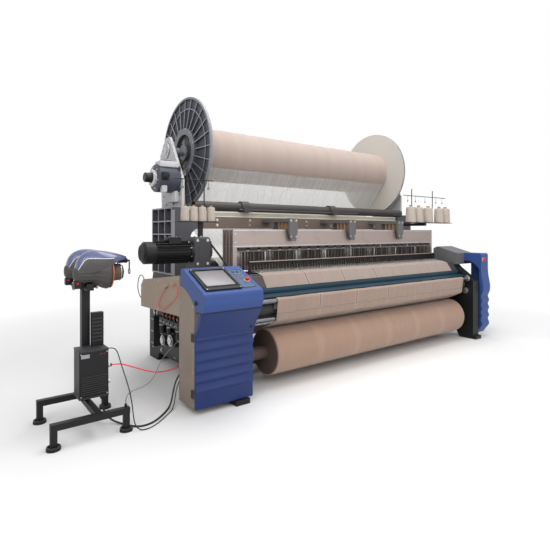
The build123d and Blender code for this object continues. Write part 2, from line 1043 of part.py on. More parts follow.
with BuildPart() as heald_guides:
    for x_low, x_high in ((-frame_inner, heald_left + guide_grip), (heald_right - guide_grip, frame_inner)):
        with BuildSketch(floor_plane(frame_top - guide_height)):
            with Locations(((x_low + x_high) / 2, comb_y)):
                Rectangle(x_high - x_low, comb_depth)
            slot_x = heald_left if x_low < 0 else heald_right
            for centre in heald_centres:
                with Locations((slot_x, centre)):
                    Rectangle(
                        2 * guide_grip + 2,
                        heald_thickness + 2 * seat_gap,
                        mode=Mode.SUBTRACT,
                    )
        extrude(amount=guide_height)
    with BuildSketch(floor_plane(slat_bottom)):
        for centre in bracket_centres:
            for slat_y in slat_ys:
                with Locations((centre, slat_y)):
                    Rectangle(slat_width, slat_thickness)
    extrude(amount=slat_top - slat_bottom)
save(heald_guides, "heald_guides")

# Brackets that hang from the girder over the heald frames

bracket_rear_y = heald_centres[-1] + heald_thickness / 2 + guide_grip

with BuildPart() as guide_brackets:
    for centre in bracket_centres:
        with BuildSketch(front_plane(bracket_front_y)):
            Polygon(
                (centre - bracket_width / 2, bracket_bar_bottom + bracket_bar_height),
                (centre - bracket_width / 2, bracket_front_bottom + 4 * bracket_taper),
                (centre - bracket_width / 2 + bracket_taper, bracket_front_bottom),
                (centre + bracket_width / 2 - bracket_taper, bracket_front_bottom),
                (centre + bracket_width / 2, bracket_front_bottom + 4 * bracket_taper),
                (centre + bracket_width / 2, bracket_bar_bottom + bracket_bar_height),
                align=None,
            )
        extrude(amount=bracket_plate)
        with BuildSketch(front_plane(bracket_rear_y + bracket_plate)):
            with Locations((centre, (bracket_rear_bottom + bracket_bar_bottom) / 2)):
                Rectangle(bracket_width, bracket_bar_bottom - bracket_rear_bottom + 2)
        extrude(amount=bracket_plate)
        with BuildSketch(front_plane(girder_front)):
            with Locations((centre, bracket_bar_bottom + bracket_bar_height / 2)):
                Rectangle(bracket_width, bracket_bar_height)
        extrude(amount=girder_front - bracket_front_y)
save(guide_brackets, "guide_brackets")

# Beam stands: pocketed columns on the frames with an arched arm to the girder

stand_outer = plate_offset + stand_overhang
stand_inner = stand_outer - stand_width
arm_inner = stand_inner - arm_reach
pocket_width = (stand_depth - (pocket_columns + 1) * pocket_rib) / pocket_columns
pocket_height = (stand_top - frame_top - (pocket_rows + 1) * pocket_rib) / pocket_rows


def beam_stand(side):
    """A stand, side -1 on the left and 1 on the right."""
    low_x = beam_x + (-stand_outer if side < 0 else stand_inner)
    outer_x = beam_x + side * stand_outer
    inner_x = beam_x + side * stand_inner
    with BuildPart() as column:
        with BuildSketch(side_plane(low_x)):
            with Locations((stand_front + stand_depth / 2, (stand_top + frame_top) / 2)):
                Rectangle(stand_depth, stand_top - frame_top)
        extrude(amount=stand_width)
        with BuildSketch(side_plane(outer_x)):
            with Locations((stand_front + stand_depth / 2, (stand_top + frame_top) / 2)):
                with GridLocations(
                    pocket_width + pocket_rib, pocket_height + pocket_rib, pocket_columns, pocket_rows
                ):
                    Rectangle(pocket_width, pocket_height)
        extrude(amount=-side * pocket_depth, mode=Mode.SUBTRACT)
        with BuildSketch(front_plane(girder_front + girder_depth)):
            with BuildLine():
                Polyline(
                    (inner_x, girder_bottom - arm_arch),
                    (inner_x, frame_top),
                    (outer_x, frame_top),
                    (outer_x, arm_top),
                    (inner_x - side * arm_reach, arm_top),
                    (inner_x - side * arm_reach, girder_bottom),
                    (inner_x - side * arm_arch, girder_bottom),
                )
                ThreePointArc(
                    (inner_x, girder_bottom - arm_arch),
                    (
                        inner_x - side * arm_arch * (1 - math.sqrt(0.5)),
                        girder_bottom - arm_arch * (1 - math.sqrt(0.5)),
                    ),
                    (inner_x - side * arm_arch, girder_bottom),
                )
            make_face()
        extrude(amount=girder_depth)
        with BuildSketch(side_plane(inner_x)):
            with Locations((back_rest_y, back_rest_z), (pile_guide_y, pile_guide_z)):
                Circle(journal_radius + running_gap)
        extrude(amount=side * (stand_width - pocket_depth - pocket_wall), mode=Mode.SUBTRACT)
    return column


with BuildPart() as beam_stands:
    add([beam_stand(side).part for side in (-1, 1)])
save(beam_stands, "beam_stands")

# Top girder: a rolled box section between the arms

with BuildPart() as top_girder:
    with BuildSketch(side_plane(beam_x - arm_inner)):
        with Locations((girder_front + girder_depth / 2, girder_bottom + girder_height / 2)):
            Rectangle(girder_depth, girder_height)
            Rectangle(girder_depth - 2 * girder_wall, girder_height - 2 * girder_wall, mode=Mode.SUBTRACT)
    extrude(amount=2 * arm_inner)
save(top_girder, "top_girder")

# Bearing plates that carry the pile beam

plate_outline = [
    (stand_front, stand_top),
    (stand_front, stand_top + plate_shoulder),
    (pile_y - plate_crown_front, pile_z + plate_crown),
    (pile_y + plate_crown_rear, pile_z + plate_crown),
    (pile_y + plate_haunch, pile_z - plate_haunch_drop),
    (stand_front + stand_depth, stand_top),
]

with BuildPart() as bearing_plates:
    with BuildSketch(side_plane(beam_x - plate_offset - plate_thickness / 2)):
        Polygon(*plate_outline, align=None)
        with Locations((pile_y, pile_z)):
            Circle(bearing_radius + running_gap, mode=Mode.SUBTRACT)
    extrude(amount=plate_thickness)
    mirror(about=side_plane(beam_x))
save(bearing_plates, "bearing_plates")

# Pile beam: ribbed flanges, barrel and the yarn wound between them

flange_inner = beam_width / 2
flange_back = flange_inner + flange_web
flange_face = flange_inner + flange_depth
web_radius = flange_radius - flange_rim

with BuildPart() as pile_flanges:
    with BuildSketch(turning_plane(pile_y, pile_z)):
        Polygon(
            (beam_x - flange_inner, bearing_radius + seat_gap),
            (beam_x - flange_inner, flange_radius),
            (beam_x - flange_inner - flange_depth * 0.6, flange_radius),
            (beam_x - flange_inner - flange_depth * 0.6, web_radius),
            (beam_x - flange_back, web_radius),
            (beam_x - flange_back, middle_ring_radius + 6),
            (beam_x - flange_back - 14, middle_ring_radius + 6),
            (beam_x - flange_back - 14, middle_ring_radius - 6),
            (beam_x - flange_back, middle_ring_radius - 6),
            (beam_x - flange_back, hub_ring_outer),
            (beam_x - flange_face, hub_ring_outer - 8),
            (beam_x - flange_face, hub_ring_inner),
            (beam_x - flange_back, hub_ring_inner),
            (beam_x - flange_back, hub_boss_radius),
            (beam_x - flange_face, hub_boss_radius),
            (beam_x - flange_face, bearing_radius + seat_gap),
            align=None,
        )
    revolve(axis=roller_axis(pile_y, pile_z))
    for index in range(flange_ribs):
        angle = math.radians(360 * index / flange_ribs)
        rib_plane = Plane(
            origin=(datum_x, datum_y + pile_y, pile_z),
            x_dir=(1, 0, 0),
            z_dir=(0, -math.cos(angle), -math.sin(angle)),
        )
        with BuildSketch(rib_plane):
            Polygon(
                (beam_x - flange_inner - 2, hub_ring_outer - 20),
                (beam_x - flange_inner - 2, web_radius + 4),
                (beam_x - flange_inner - flange_depth * 0.44, web_radius + 4),
                (beam_x - flange_face + 4, hub_ring_outer - 20),
                align=None,
            )
        extrude(amount=rib_thickness / 2, both=True)
    with BuildSketch(Plane(
        origin=(datum_x + beam_x - flange_face, datum_y + pile_y, pile_z), x_dir=(0, 1, 0), z_dir=(1, 0, 0)
    )):
        with PolarLocations(0, hub_windows):
            Polygon(
                (hub_boss_radius + window_margin, 0),
                (hub_ring_inner - window_margin, -window_half),
                (hub_ring_inner - window_margin, window_half),
                align=None,
            )
    extrude(amount=flange_depth, mode=Mode.SUBTRACT)
    mirror(about=side_plane(beam_x))
save(pile_flanges, "pile_flanges")

plate_outer = plate_offset + plate_thickness / 2

pile_barrel = turned(
    [
        (beam_x - plate_outer - shaft_overhang, 0),
        (beam_x - plate_outer - shaft_overhang, bearing_radius),
        (beam_x - flange_inner + seat_gap, bearing_radius),
        (beam_x - flange_inner + seat_gap, barrel_radius),
        (beam_x + flange_inner - seat_gap, barrel_radius),
        (beam_x + flange_inner - seat_gap, bearing_radius),
        (beam_x + plate_outer + shaft_overhang, bearing_radius),
        (beam_x + plate_outer + shaft_overhang, 0),
    ],
    pile_y,
    pile_z,
)
save(pile_barrel, "pile_barrel")

pile_warp = turned(
    [
        (beam_x - flange_inner + seat_gap, barrel_radius + seat_gap),
        (beam_x - flange_inner + seat_gap, pile_radius),
        (beam_x + flange_inner - seat_gap, pile_radius),
        (beam_x + flange_inner - seat_gap, barrel_radius + seat_gap),
    ],
    pile_y,
    pile_z,
)
save(pile_warp, "pile_warp")

# Ground beam between the side frames

ground_left = ground_side_gap - frame_inner
ground_right = frame_inner - ground_side_gap

ground_beam = turned(
    [
        (-journal_end, 0),
        (-journal_end, journal_radius),
        (ground_left - ground_flange_thickness, journal_radius),
        (ground_left - ground_flange_thickness, ground_flange_radius),
        (ground_left, ground_flange_radius),
        (ground_left, barrel_radius),
        (ground_right, barrel_radius),
        (ground_right, ground_flange_radius),
        (ground_right + ground_flange_thickness, ground_flange_radius),
        (ground_right + ground_flange_thickness, journal_radius),
        (journal_end, journal_radius),
        (journal_end, 0),
    ],
    ground_y,
    ground_z,
)
save(ground_beam, "ground_beam")

ground_warp = turned(
    [
        (ground_left + seat_gap, barrel_radius + seat_gap),
        (ground_left + seat_gap, ground_warp_radius),
        (ground_right - seat_gap, ground_warp_radius),
        (ground_right - seat_gap, barrel_radius + seat_gap),
    ],
    ground_y,
    ground_z,
)
save(ground_warp, "ground_warp")

# Back rest and pile guide rollers, held by the stands

back_rest_left = beam_x - stand_inner
back_rest_right = beam_x + stand_inner
back_journal = stand_width - pocket_depth - 30


def warp_roller(y, z, radius):
    return turned(
        [
            (back_rest_left - back_journal, 0),
            (back_rest_left - back_journal, journal_radius),
            (back_rest_left + 6, journal_radius),
            (back_rest_left + 6, radius),
            (back_rest_right - 6, radius),
            (back_rest_right - 6, journal_radius),
            (back_rest_right + back_journal, journal_radius),
            (back_rest_right + back_journal, 0),
        ],
        y,
        z,
    )


back_rest = warp_roller(back_rest_y, back_rest_z, back_rest_radius)
save(back_rest, "back_rest")
pile_guide = warp_roller(pile_guide_y, pile_guide_z, pile_guide_radius)
save(pile_guide, "pile_guide")

# Warp sheets

sheet_off = seat_gap + sheet_thickness / 2
heald_rear_y = heald_centres[-1] + heald_thickness / 2 + heald_rear_gap
pile_sheet_left = beam_x - flange_inner + 20
pile_sheet_width = 2 * flange_inner - 40

ground_sheet = sheet(
    [
        (ground_y, ground_z, -ground_warp_radius - sheet_off),
        (back_rest_y, back_rest_z, -back_rest_radius - sheet_off),
        (heald_rear_y, sheet_end_z, 0),
    ],
    sheet_thickness,
    cloth_left,
    cloth_width,
)
save(ground_sheet, "ground_sheet")

pile_sheet = sheet(
    [
        (pile_y, pile_z, -pile_radius - sheet_off),
        (pile_guide_y, pile_guide_z, pile_guide_radius + sheet_off),
        (heald_rear_y, sheet_end_z + 2 * sheet_thickness, 0),
    ],
    sheet_thickness,
    pile_sheet_left,
    pile_sheet_width,
)
save(pile_sheet, "pile_sheet")

# Tension tube with its clamps and the thin rod that they carry

rod_y = tube_y - tube_radius - clamp_wall - tension_rod_radius
rod_z = tube_z - tension_rod_drop
rod_left = clamp_centres[0] - clamp_width
rod_right = clamp_centres[-1] + clamp_width * 4
clamp_mouth = tube_radius + 2 * clamp_wall

with BuildPart() as tension_tube:
    with BuildSketch(side_plane(beam_x - tube_half_length)):
        with Locations((tube_y, tube_z)):
            Circle(tube_radius)
            Circle(tube_radius - girder_wall, mode=Mode.SUBTRACT)
    extrude(amount=2 * tube_half_length)
    for centre in clamp_centres:
        with BuildSketch(side_plane(centre - clamp_width / 2)):
            with Locations((tube_y, tube_z)):
                Circle(tube_radius + clamp_wall)
            with Locations((rod_y, rod_z)):
                Rectangle(4 * tension_rod_radius, 4 * tension_rod_radius)
            with Locations((tube_y + clamp_mouth / 2 + clamp_wall / 2, tube_z)):
                Rectangle(clamp_mouth, 2 * tube_radius, mode=Mode.SUBTRACT)
            with Locations((tube_y, tube_z)):
                Circle(tube_radius - girder_wall / 2, mode=Mode.SUBTRACT)
        extrude(amount=clamp_width)
    with BuildSketch(side_plane(rod_left)):
        with Locations((rod_y, rod_z)):
            Circle(tension_rod_radius)
    extrude(amount=rod_right - rod_left)
save(tension_tube, "tension_tube")

# Let-off gear motor

letoff_face = beam_x - plate_outer

letoff_end = letoff_face - letoff_length
letoff_nose_end = letoff_end - letoff_collar - letoff_nose - letoff_cap

with BuildPart() as letoff_motor:
    with BuildSketch(turning_plane(letoff_y, letoff_z)):
        Polygon(
            (letoff_face, 0),
            (letoff_face, letoff_radius),
            (letoff_end + letoff_edge, letoff_radius),
            (letoff_end, letoff_radius - letoff_edge),
            (letoff_end, letoff_ring),
            (letoff_end - letoff_collar, letoff_ring),
            (letoff_end - letoff_collar, letoff_ring * 0.62),
            (letoff_nose_end + letoff_cap, letoff_ring * 0.62),
            (letoff_nose_end, letoff_ring * 0.5),
            (letoff_nose_end, 0),
            align=None,
        )
    revolve(axis=roller_axis(letoff_y, letoff_z))
    with BuildSketch(side_plane(letoff_end - letoff_collar)):
        with Locations((letoff_y, letoff_z)):
            with PolarLocations(letoff_ring, letoff_notches):
                Rectangle(letoff_notch, letoff_notch)
    extrude(amount=letoff_collar, mode=Mode.SUBTRACT)
    with BuildSketch(side_plane(letoff_face - letoff_lug_thickness)):
        with Locations((letoff_y, letoff_z)):
            with PolarLocations(letoff_radius, 4, start_angle=45):
                Rectangle(letoff_lug, letoff_lug)
    extrude(amount=letoff_lug_thickness)
    with BuildSketch(floor_plane(letoff_z)):
        with Locations((letoff_face - letoff_length / 2, letoff_y)):
            Rectangle(letoff_box_length, letoff_box_width)
    extrude(amount=letoff_radius + letoff_box_rise)
save(letoff_motor, "letoff_motor")

# Shedding motor with fins and fan cowl

motor_face = -gearbox_offset
motor_end = motor_face - motor_length

with BuildPart() as shedding_motor:
    with BuildSketch(turning_plane(motor_y, motor_z)):
        Polygon(
            (motor_face, 0),
            (motor_face, motor_radius),
            (motor_face - motor_flange, motor_radius),
            (motor_face - motor_flange, motor_radius - motor_fin_depth),
            (motor_end, motor_radius - motor_fin_depth),
            (motor_end, motor_radius - motor_cowl_inset),
            (motor_end - fan_length + motor_cowl_cone, motor_radius - motor_cowl_inset),
            (motor_end - fan_length, motor_radius - motor_cowl_drop),
            (motor_end - fan_length, 0),
            align=None,
        )
    revolve(axis=roller_axis(motor_y, motor_z))
    with BuildSketch(side_plane(motor_end + motor_flange)):
        with Locations((motor_y, motor_z)):
            with PolarLocations(motor_radius - motor_fin_depth, motor_fins):
                Rectangle(2 * motor_fin_depth, motor_fin_width)
    extrude(amount=motor_length - 2 * motor_flange)
    with BuildSketch(floor_plane(motor_z)):
        with Locations((motor_face - motor_length * 0.45, motor_y)):
            Rectangle(motor_box_length, motor_box_width)
    extrude(amount=motor_radius + motor_box_rise)
save(shedding_motor, "shedding_motor")

# Shedding gearbox on the left frame, with its foot and a stay rod

gearbox_centre_x = -gearbox_offset + gearbox_width / 2

with BuildPart() as shedding_gearbox:
    with BuildSketch(floor_plane(gearbox_bottom)):
        with Locations((gearbox_centre_x, motor_y)):
            Rectangle(gearbox_width, gearbox_depth)
    extrude(amount=gearbox_top - gearbox_bottom)
    chamfer(edges().group_by(Axis.Z)[-1], gearbox_chamfer)
    with BuildSketch(floor_plane(frame_top)):
        with Locations((-frame_inner - gearbox_foot / 2, motor_y)):
            Rectangle(gearbox_foot, gearbox_depth - 2 * gearbox_chamfer)
    extrude(amount=gearbox_bottom - frame_top)
    with BuildSketch(side_plane(gearbox_centre_x + gearbox_width / 2)):
        with Locations((motor_y, motor_z)):
            Circle(gearbox_cover_radius)
    extrude(amount=gearbox_cover_depth)
save(shedding_gearbox, "shedding_gearbox")

# Control cabinet: beige case behind the door, hood above it, door in front

cabinet_left_x = -cabinet_outer
case_front = door_back + seat_gap


def hood_side(drop):
    """Outline of the hood's side, its underside lowered by a clearance."""
    Polyline(
        (hood_rear, arc_rear_z - drop),
        (hood_rear, hood_top),
        (hood_rear - hood_ledge, hood_top),
        (hood_brow_y, hood_brow_z),
        (hood_chin_y, hood_chin_z),
        (hood_bottom_y, hood_bottom - drop),
        (arc_front_y, hood_bottom - drop),
    )
    ThreePointArc(
        (arc_front_y, hood_bottom - drop),
        (hood_arc_middle[0], hood_arc_middle[1] - drop),
        (hood_rear, arc_rear_z - drop),
    )


with BuildPart() as cabinet_case:
    with BuildSketch(side_plane(cabinet_left_x)):
        Polygon(
            (case_front, cabinet_bottom),
            (case_front, arc_rear_z - seat_gap),
            (cabinet_rear, arc_rear_z - seat_gap),
            (cabinet_rear, cabinet_bottom),
            align=None,
        )
        with BuildLine():
            hood_side(seat_gap)
        make_face(mode=Mode.SUBTRACT)
    extrude(amount=cabinet_body_width)
    with BuildSketch(front_plane(case_front)):
        with Locations((cabinet_left_x + cabinet_body_width / 2, case_opening_z)):
            Rectangle(cabinet_body_width - 2 * case_rim, case_opening_height)
    extrude(amount=-(cabinet_rear - case_front - case_back_wall), mode=Mode.SUBTRACT)
    with BuildSketch(side_plane(cabinet_left_x - hinge_proud)):
        for hinge_z in hinge_zs:
            with Locations((case_front + hinge_block / 2, hinge_z)):
                Rectangle(hinge_block, hinge_height)
    extrude(amount=hinge_proud + cabinet_wall)
save(cabinet_case, "cabinet_case")

with BuildPart() as cabinet_hood:
    with BuildSketch(side_plane(cabinet_left_x)):
        with BuildLine():
            hood_side(0)
        make_face()
    extrude(amount=cabinet_width)
    brow = edges().filter_by(Axis.X).sort_by_distance(
        (datum_x - cabinet_outer, datum_y + hood_brow_y, hood_brow_z)
    )[0]
    fillet(brow, hood_brow_round)
    with BuildSketch(side_plane(cabinet_left_x - hood_lock_proud)):
        with Locations((hood_lock_y, hood_lock_z)):
            Circle(hood_lock_radius)
    extrude(amount=hood_lock_proud)
save(cabinet_hood, "cabinet_hood")

# Door with five moulded ridges


def ridge_points(face_y):
    """Crests and valleys of the moulded ridges, from the top one down."""
    points = []
    for index in range(ridge_count):
        crest_z = ridge_top - index * ridge_pitch
        points.append((face_y - ridge_depth, crest_z - ridge_pitch * 0.12))
        points.append((face_y, crest_z - ridge_pitch * 0.62))
    return points


with BuildPart() as cabinet_door:
    with BuildSketch(side_plane(cabinet_left_x)):
        with BuildLine():
            face_line = Spline(
                (hood_bottom_y, door_top),
                (hood_bottom_y + 40, door_top - 70),
                (door_neck_y, door_neck_z),
                *ridge_points(door_face_y),
            )
            Polyline(
                face_line @ 1,
                (door_face_y, cabinet_bottom),
                (door_back, cabinet_bottom),
                (door_back, door_neck_z),
                (hood_bottom_y + 90, door_top),
                face_line @ 0,
            )
        make_face()
    extrude(amount=cabinet_width)
save(cabinet_door, "cabinet_door")

# Console on the slope of the hood

slope_angle = math.atan2(hood_top - hood_brow_z, hood_rear - hood_ledge - hood_brow_y)


def slope_plane(x, down):
    """A plane on the console, its local y pointing up the slope."""
    y = hood_rear - hood_ledge - down * math.cos(slope_angle)
    z = hood_top - down * math.sin(slope_angle)
    return Plane(
        origin=(datum_x + x, datum_y + y, z),
        x_dir=(1, 0, 0),
        z_dir=(0, -math.sin(slope_angle), math.cos(slope_angle)),
    )


with BuildPart() as touch_screen:
    with BuildSketch(slope_plane(screen_centre_x, screen_down)):
        RectangleRounded(screen_length, screen_height, screen_corner)
    extrude(amount=screen_thickness)
    with BuildSketch(slope_plane(screen_centre_x, screen_down).offset(screen_thickness)):
        with Locations((0, screen_corner)):
            Rectangle(screen_length - 2 * screen_border, screen_height - screen_border - screen_brow)
    extrude(amount=-screen_recess, mode=Mode.SUBTRACT)
save(touch_screen, "touch_screen")

with BuildPart() as key_plate:
    with BuildSketch(slope_plane(keys_centre_x, keys_down)):
        RectangleRounded(keys_length, keys_height, keys_corner)
        with Locations((estop_x - keys_centre_x, keys_down - estop_down)):
            Circle(estop_collar + seat_gap, mode=Mode.SUBTRACT)
    extrude(amount=keys_thickness)
    with BuildSketch(slope_plane(keys_centre_x, keys_down).offset(keys_thickness)):
        with Locations((0, keys_height / 2 - key_margin)):
            with GridLocations(key_pitch, key_pitch, 2, 2):
                RectangleRounded(key_size, key_size, key_corner)
    extrude(amount=key_rise)
save(key_plate, "key_plate")


def estop(plane, label):
    """Mushroom button whose stem slides in a fixed collar."""
    with BuildPart() as button:
        with BuildSketch(plane.offset(estop_rest)):
            Circle(estop_stem)
        extrude(amount=estop_collar_height + estop_travel)
        with BuildSketch(plane.offset(estop_collar_height + estop_travel + seat_gap)):
            Circle(estop_head)
        extrude(amount=estop_head_height)
        fillet(button.faces().sort_by(Axis(plane.origin, plane.z_dir))[-1].edges(), estop_edge)
    save(button, label)


estop_left_plane = slope_plane(estop_x, estop_down)
estop_right_plane = Plane(
    origin=(datum_x + estop_right_x, datum_y + cover_front, estop_right_z),
    x_dir=(1, 0, 0),
    z_dir=(0, -1, 0),
)

with BuildPart() as estop_collars:
    for plane in (estop_left_plane, estop_right_plane):
        with BuildSketch(plane):
            Circle(estop_collar)
            Circle(estop_stem + running_gap, mode=Mode.SUBTRACT)
        extrude(amount=estop_collar_height)
save(estop_collars, "estop_collars")
estop(estop_left_plane, "estop_left")
estop(estop_right_plane, "estop_right")

# Right cover: hood side, ridged front and outer panel in one moulding

cover_outer = cover_inner + cover_width


with BuildPart() as cover_right:
    with BuildSketch(side_plane(cover_inner)):
        with BuildLine():
            face_line = Spline(
                (cover_front, cover_straight_z),
                (cover_front - cover_swell, hood_bottom),
                *ridge_points(cover_front),
                (cover_toe_y, cover_bottom),
                tangents=((0, -1), (0.4, -1)),
            )
            Polyline(
                (cover_toe_y, cover_bottom),
                (cover_toe_y + cover_shell, cover_bottom),
                (cover_front + cover_shell, ridge_top - ridge_count * ridge_pitch + 60),
                (cover_front + cover_shell, cover_arc_front_z - 30),
            )
            ThreePointArc(
                (cover_front + cover_shell, cover_arc_front_z - 30),
                cover_arc_middle,
                (cover_rear, cover_arc_rear_z),
            )
            Polyline(
                (cover_rear, cover_arc_rear_z),
                (cover_rear, cover_top),
                (cover_front + cover_top - cover_brow, cover_top),
                (cover_front, cover_brow),
                (cover_front, cover_straight_z),
            )
        make_face()
    extrude(amount=cover_width)
    with BuildSketch(side_plane(cover_outer - cabinet_wall)):
        Polygon(
            (cover_rear, cover_arc_rear_z + 2),
            (cover_rear, cover_bottom),
            (cover_toe_y + 2, cover_bottom),
            (cover_front + 12, 200),
            (cover_front + 12, cover_arc_front_z + 20),
            align=None,
        )
    extrude(amount=cabinet_wall)
save(cover_right, "cover_right")

# Grey sloped hump between the right frame and the cover

with BuildPart() as cover_hump:
    with BuildSketch(side_plane(frame_inner)):
        Polygon(
            (cover_rear, frame_top),
            (cover_rear, cover_top),
            (hump_rear - hump_ridge, hump_rear_top),
            (hump_rear, hump_rear_top - hump_edge),
            (hump_rear, frame_top),
            align=None,
        )
    extrude(amount=cover_outer - frame_inner)
    fillet(edges().filter_by(Axis.X).group_by(Axis.Z)[-1], hump_round)
save(cover_hump, "cover_hump")

# Guard box over the pneumatics on the left

chamfer_plane = Plane(
    origin=(
        datum_x + hose_spigot_x,
        datum_y + guard_rear - guard_chamfer / 2,
        guard_rear_top - guard_chamfer / 2,
    ),
    x_dir=(1, 0, 0),
    z_dir=(0, 1, 1),
)

with BuildPart() as guard_box:
    with BuildSketch(side_plane(-cabinet_outer)):
        Polygon(
            (cabinet_rear, guard_front_bottom),
            (cabinet_rear, guard_front_top),
            (guard_rear - guard_chamfer, guard_rear_top),
            (guard_rear, guard_rear_top - guard_chamfer),
            (guard_rear, guard_rear_bottom),
            align=None,
        )
    extrude(amount=cabinet_outer - frame_outer)
    with BuildSketch(side_plane(-cabinet_outer)):
        for end, before in ((air_loop_route[0], air_loop_route[1]), (air_loop_route[-1], air_loop_route[-2])):
            heading = math.atan2(end[1] - before[1], end[0] - before[0])
            elbow_y = end[0] + math.cos(heading) * elbow_size / 2
            elbow_z = end[1] + math.sin(heading) * elbow_size / 2
            with Locations((elbow_y, elbow_z)):
                Rectangle(elbow_size, elbow_size, rotation=math.degrees(heading))
    extrude(amount=-elbow_size)
    with BuildSketch(chamfer_plane):
        Circle(motor_hose_diameter / 2 + spigot_wall)
    extrude(amount=hose_spigot_height)
save(guard_box, "guard_box")

# Air unit: plate on four arms with a manifold, valves, regulators, filter bowls and sockets

unit_arm_places = (
    (unit_front + unit_arm_size, unit_top - unit_arm_size),
    (unit_front + unit_arm_size, unit_front_bottom + 2 * unit_arm_size),
    (unit_arm_rear, unit_top - unit_arm_size),
    (unit_arm_rear, unit_rear_bottom + unit_arm_size),
)
unit_socket_ends = (red_tube_route[-1], signal_cable_route[0], stand_cable_route[-1], floor_cable_route[-1])
manifold_bottom = unit_top - manifold_drop
manifold_middle = (unit_front + unit_slab_front) / 2 + unit_arm_size

with BuildPart() as air_unit:
    with BuildSketch(side_plane(unit_plate_x)):
        Polygon(
            (unit_front, unit_front_bottom),
            (unit_front, unit_top),
            (unit_rear, unit_top),
            (unit_rear, unit_rear_bottom),
            align=None,
        )
    extrude(amount=unit_plate_thickness)
    with BuildSketch(side_plane(unit_plate_x + unit_plate_thickness)):
        with Locations(*unit_arm_places):
            Rectangle(unit_arm_size, unit_arm_size)
    extrude(amount=-frame_outer - unit_plate_x - unit_plate_thickness)
    with BuildSketch(side_plane(unit_plate_x)):
        with Locations((unit_rear - unit_slab_depth / 2, (unit_rear_bottom + unit_slab_top) / 2 + 5)):
            Rectangle(unit_slab_depth, unit_slab_top - unit_rear_bottom - 10)
    extrude(amount=-manifold_depth)
    with BuildSketch(side_plane(unit_plate_x)):
        with Locations((manifold_middle, manifold_bottom + manifold_height / 2)):
            Rectangle(valve_pitch * valve_count + valve_pitch / 2, manifold_height)
    extrude(amount=-manifold_depth)
    with BuildSketch(floor_plane(manifold_bottom + manifold_height)):
        with Locations((unit_plate_x - manifold_depth / 2, manifold_middle)):
            with GridLocations(1, valve_pitch, 1, valve_count):
                Rectangle(manifold_depth * 0.6, valve_pitch * 0.45)
    extrude(amount=valve_height)
    for y, z, radius in regulator_places:
        with BuildSketch(side_plane(unit_plate_x)):
            with Locations((y, z)):
                Circle(radius)
        extrude(amount=-regulator_length * 0.6)
        with BuildSketch(side_plane(unit_plate_x - regulator_length * 0.6)):
            with Locations((y, z)):
                Circle(radius * 0.82)
        extrude(amount=-regulator_length * 0.4)
        with BuildSketch(side_plane(unit_plate_x - regulator_length)):
            with Locations((y, z)):
                Circle(radius * 0.3)
        extrude(amount=-regulator_length * 0.3)
    with BuildSketch(floor_plane(manifold_bottom - bowl_height)):
        for y in bowl_ys:
            with Locations((unit_plate_x - bowl_radius - 2, y)):
                Circle(bowl_radius)
    extrude(amount=bowl_height)
    with BuildSketch(side_plane(unit_plate_x)):
        for end in unit_socket_ends:
            with Locations((end[1], end[2])):
                Circle(socket_radius)
    extrude(amount=-spigot_length)
    hose_x, hose_y, hose_z = motor_hose_route[-1]
    with BuildSketch(floor_plane(unit_slab_top)):
        with Locations((hose_x, hose_y)):
            Circle(motor_hose_diameter / 2 + spigot_wall)
    extrude(amount=hose_z - unit_slab_top)
save(air_unit, "air_unit")

# Yarn cones on two wire stands

small_cones = [(x, left_tray_z, small_cone_radius, small_cone_height) for x in small_cone_xs]
large_cones = [(x, right_tray_z, large_cone_radius, large_cone_height) for x in large_cone_xs]

with BuildPart() as yarn_cones:
    for x, tray_z, radius, height in small_cones + large_cones:
        cone_base = Vector(datum_x + x, datum_y + tray_y, tray_z + tray_thickness)
        with BuildSketch(Plane(origin=cone_base, x_dir=(1, 0, 0), z_dir=(0, -1, 0))):
            Polygon(
                (0, 0),
                (radius * 0.96, 0),
                (radius, height * 0.05),
                (radius * 0.9, height * 0.92),
                (radius * 0.84, height),
                (radius * 0.3, height),
                (radius * 0.3, height * 1.07),
                (0, height * 1.07),
                align=None,
            )
        revolve(axis=Axis(cone_base, (0, 0, 1)))
save(yarn_cones, "yarn_cones")

left_stand = (
    left_tray_z,
    left_cross_z,
    small_cone_xs[0] - 80,
    small_cone_xs[-1] + 54,
    (small_cone_xs[0] + 46, small_cone_xs[2] + 47),
    small_cone_xs,
)
right_stand = (
    right_tray_z,
    right_cross_z,
    large_cone_xs[0] - 100,
    large_cone_xs[-1] + 90,
    (large_cone_xs[0] + 92, large_cone_xs[3] - 92),
    large_cone_xs,
)
wire_y = tray_y + tray_depth / 2 - 12

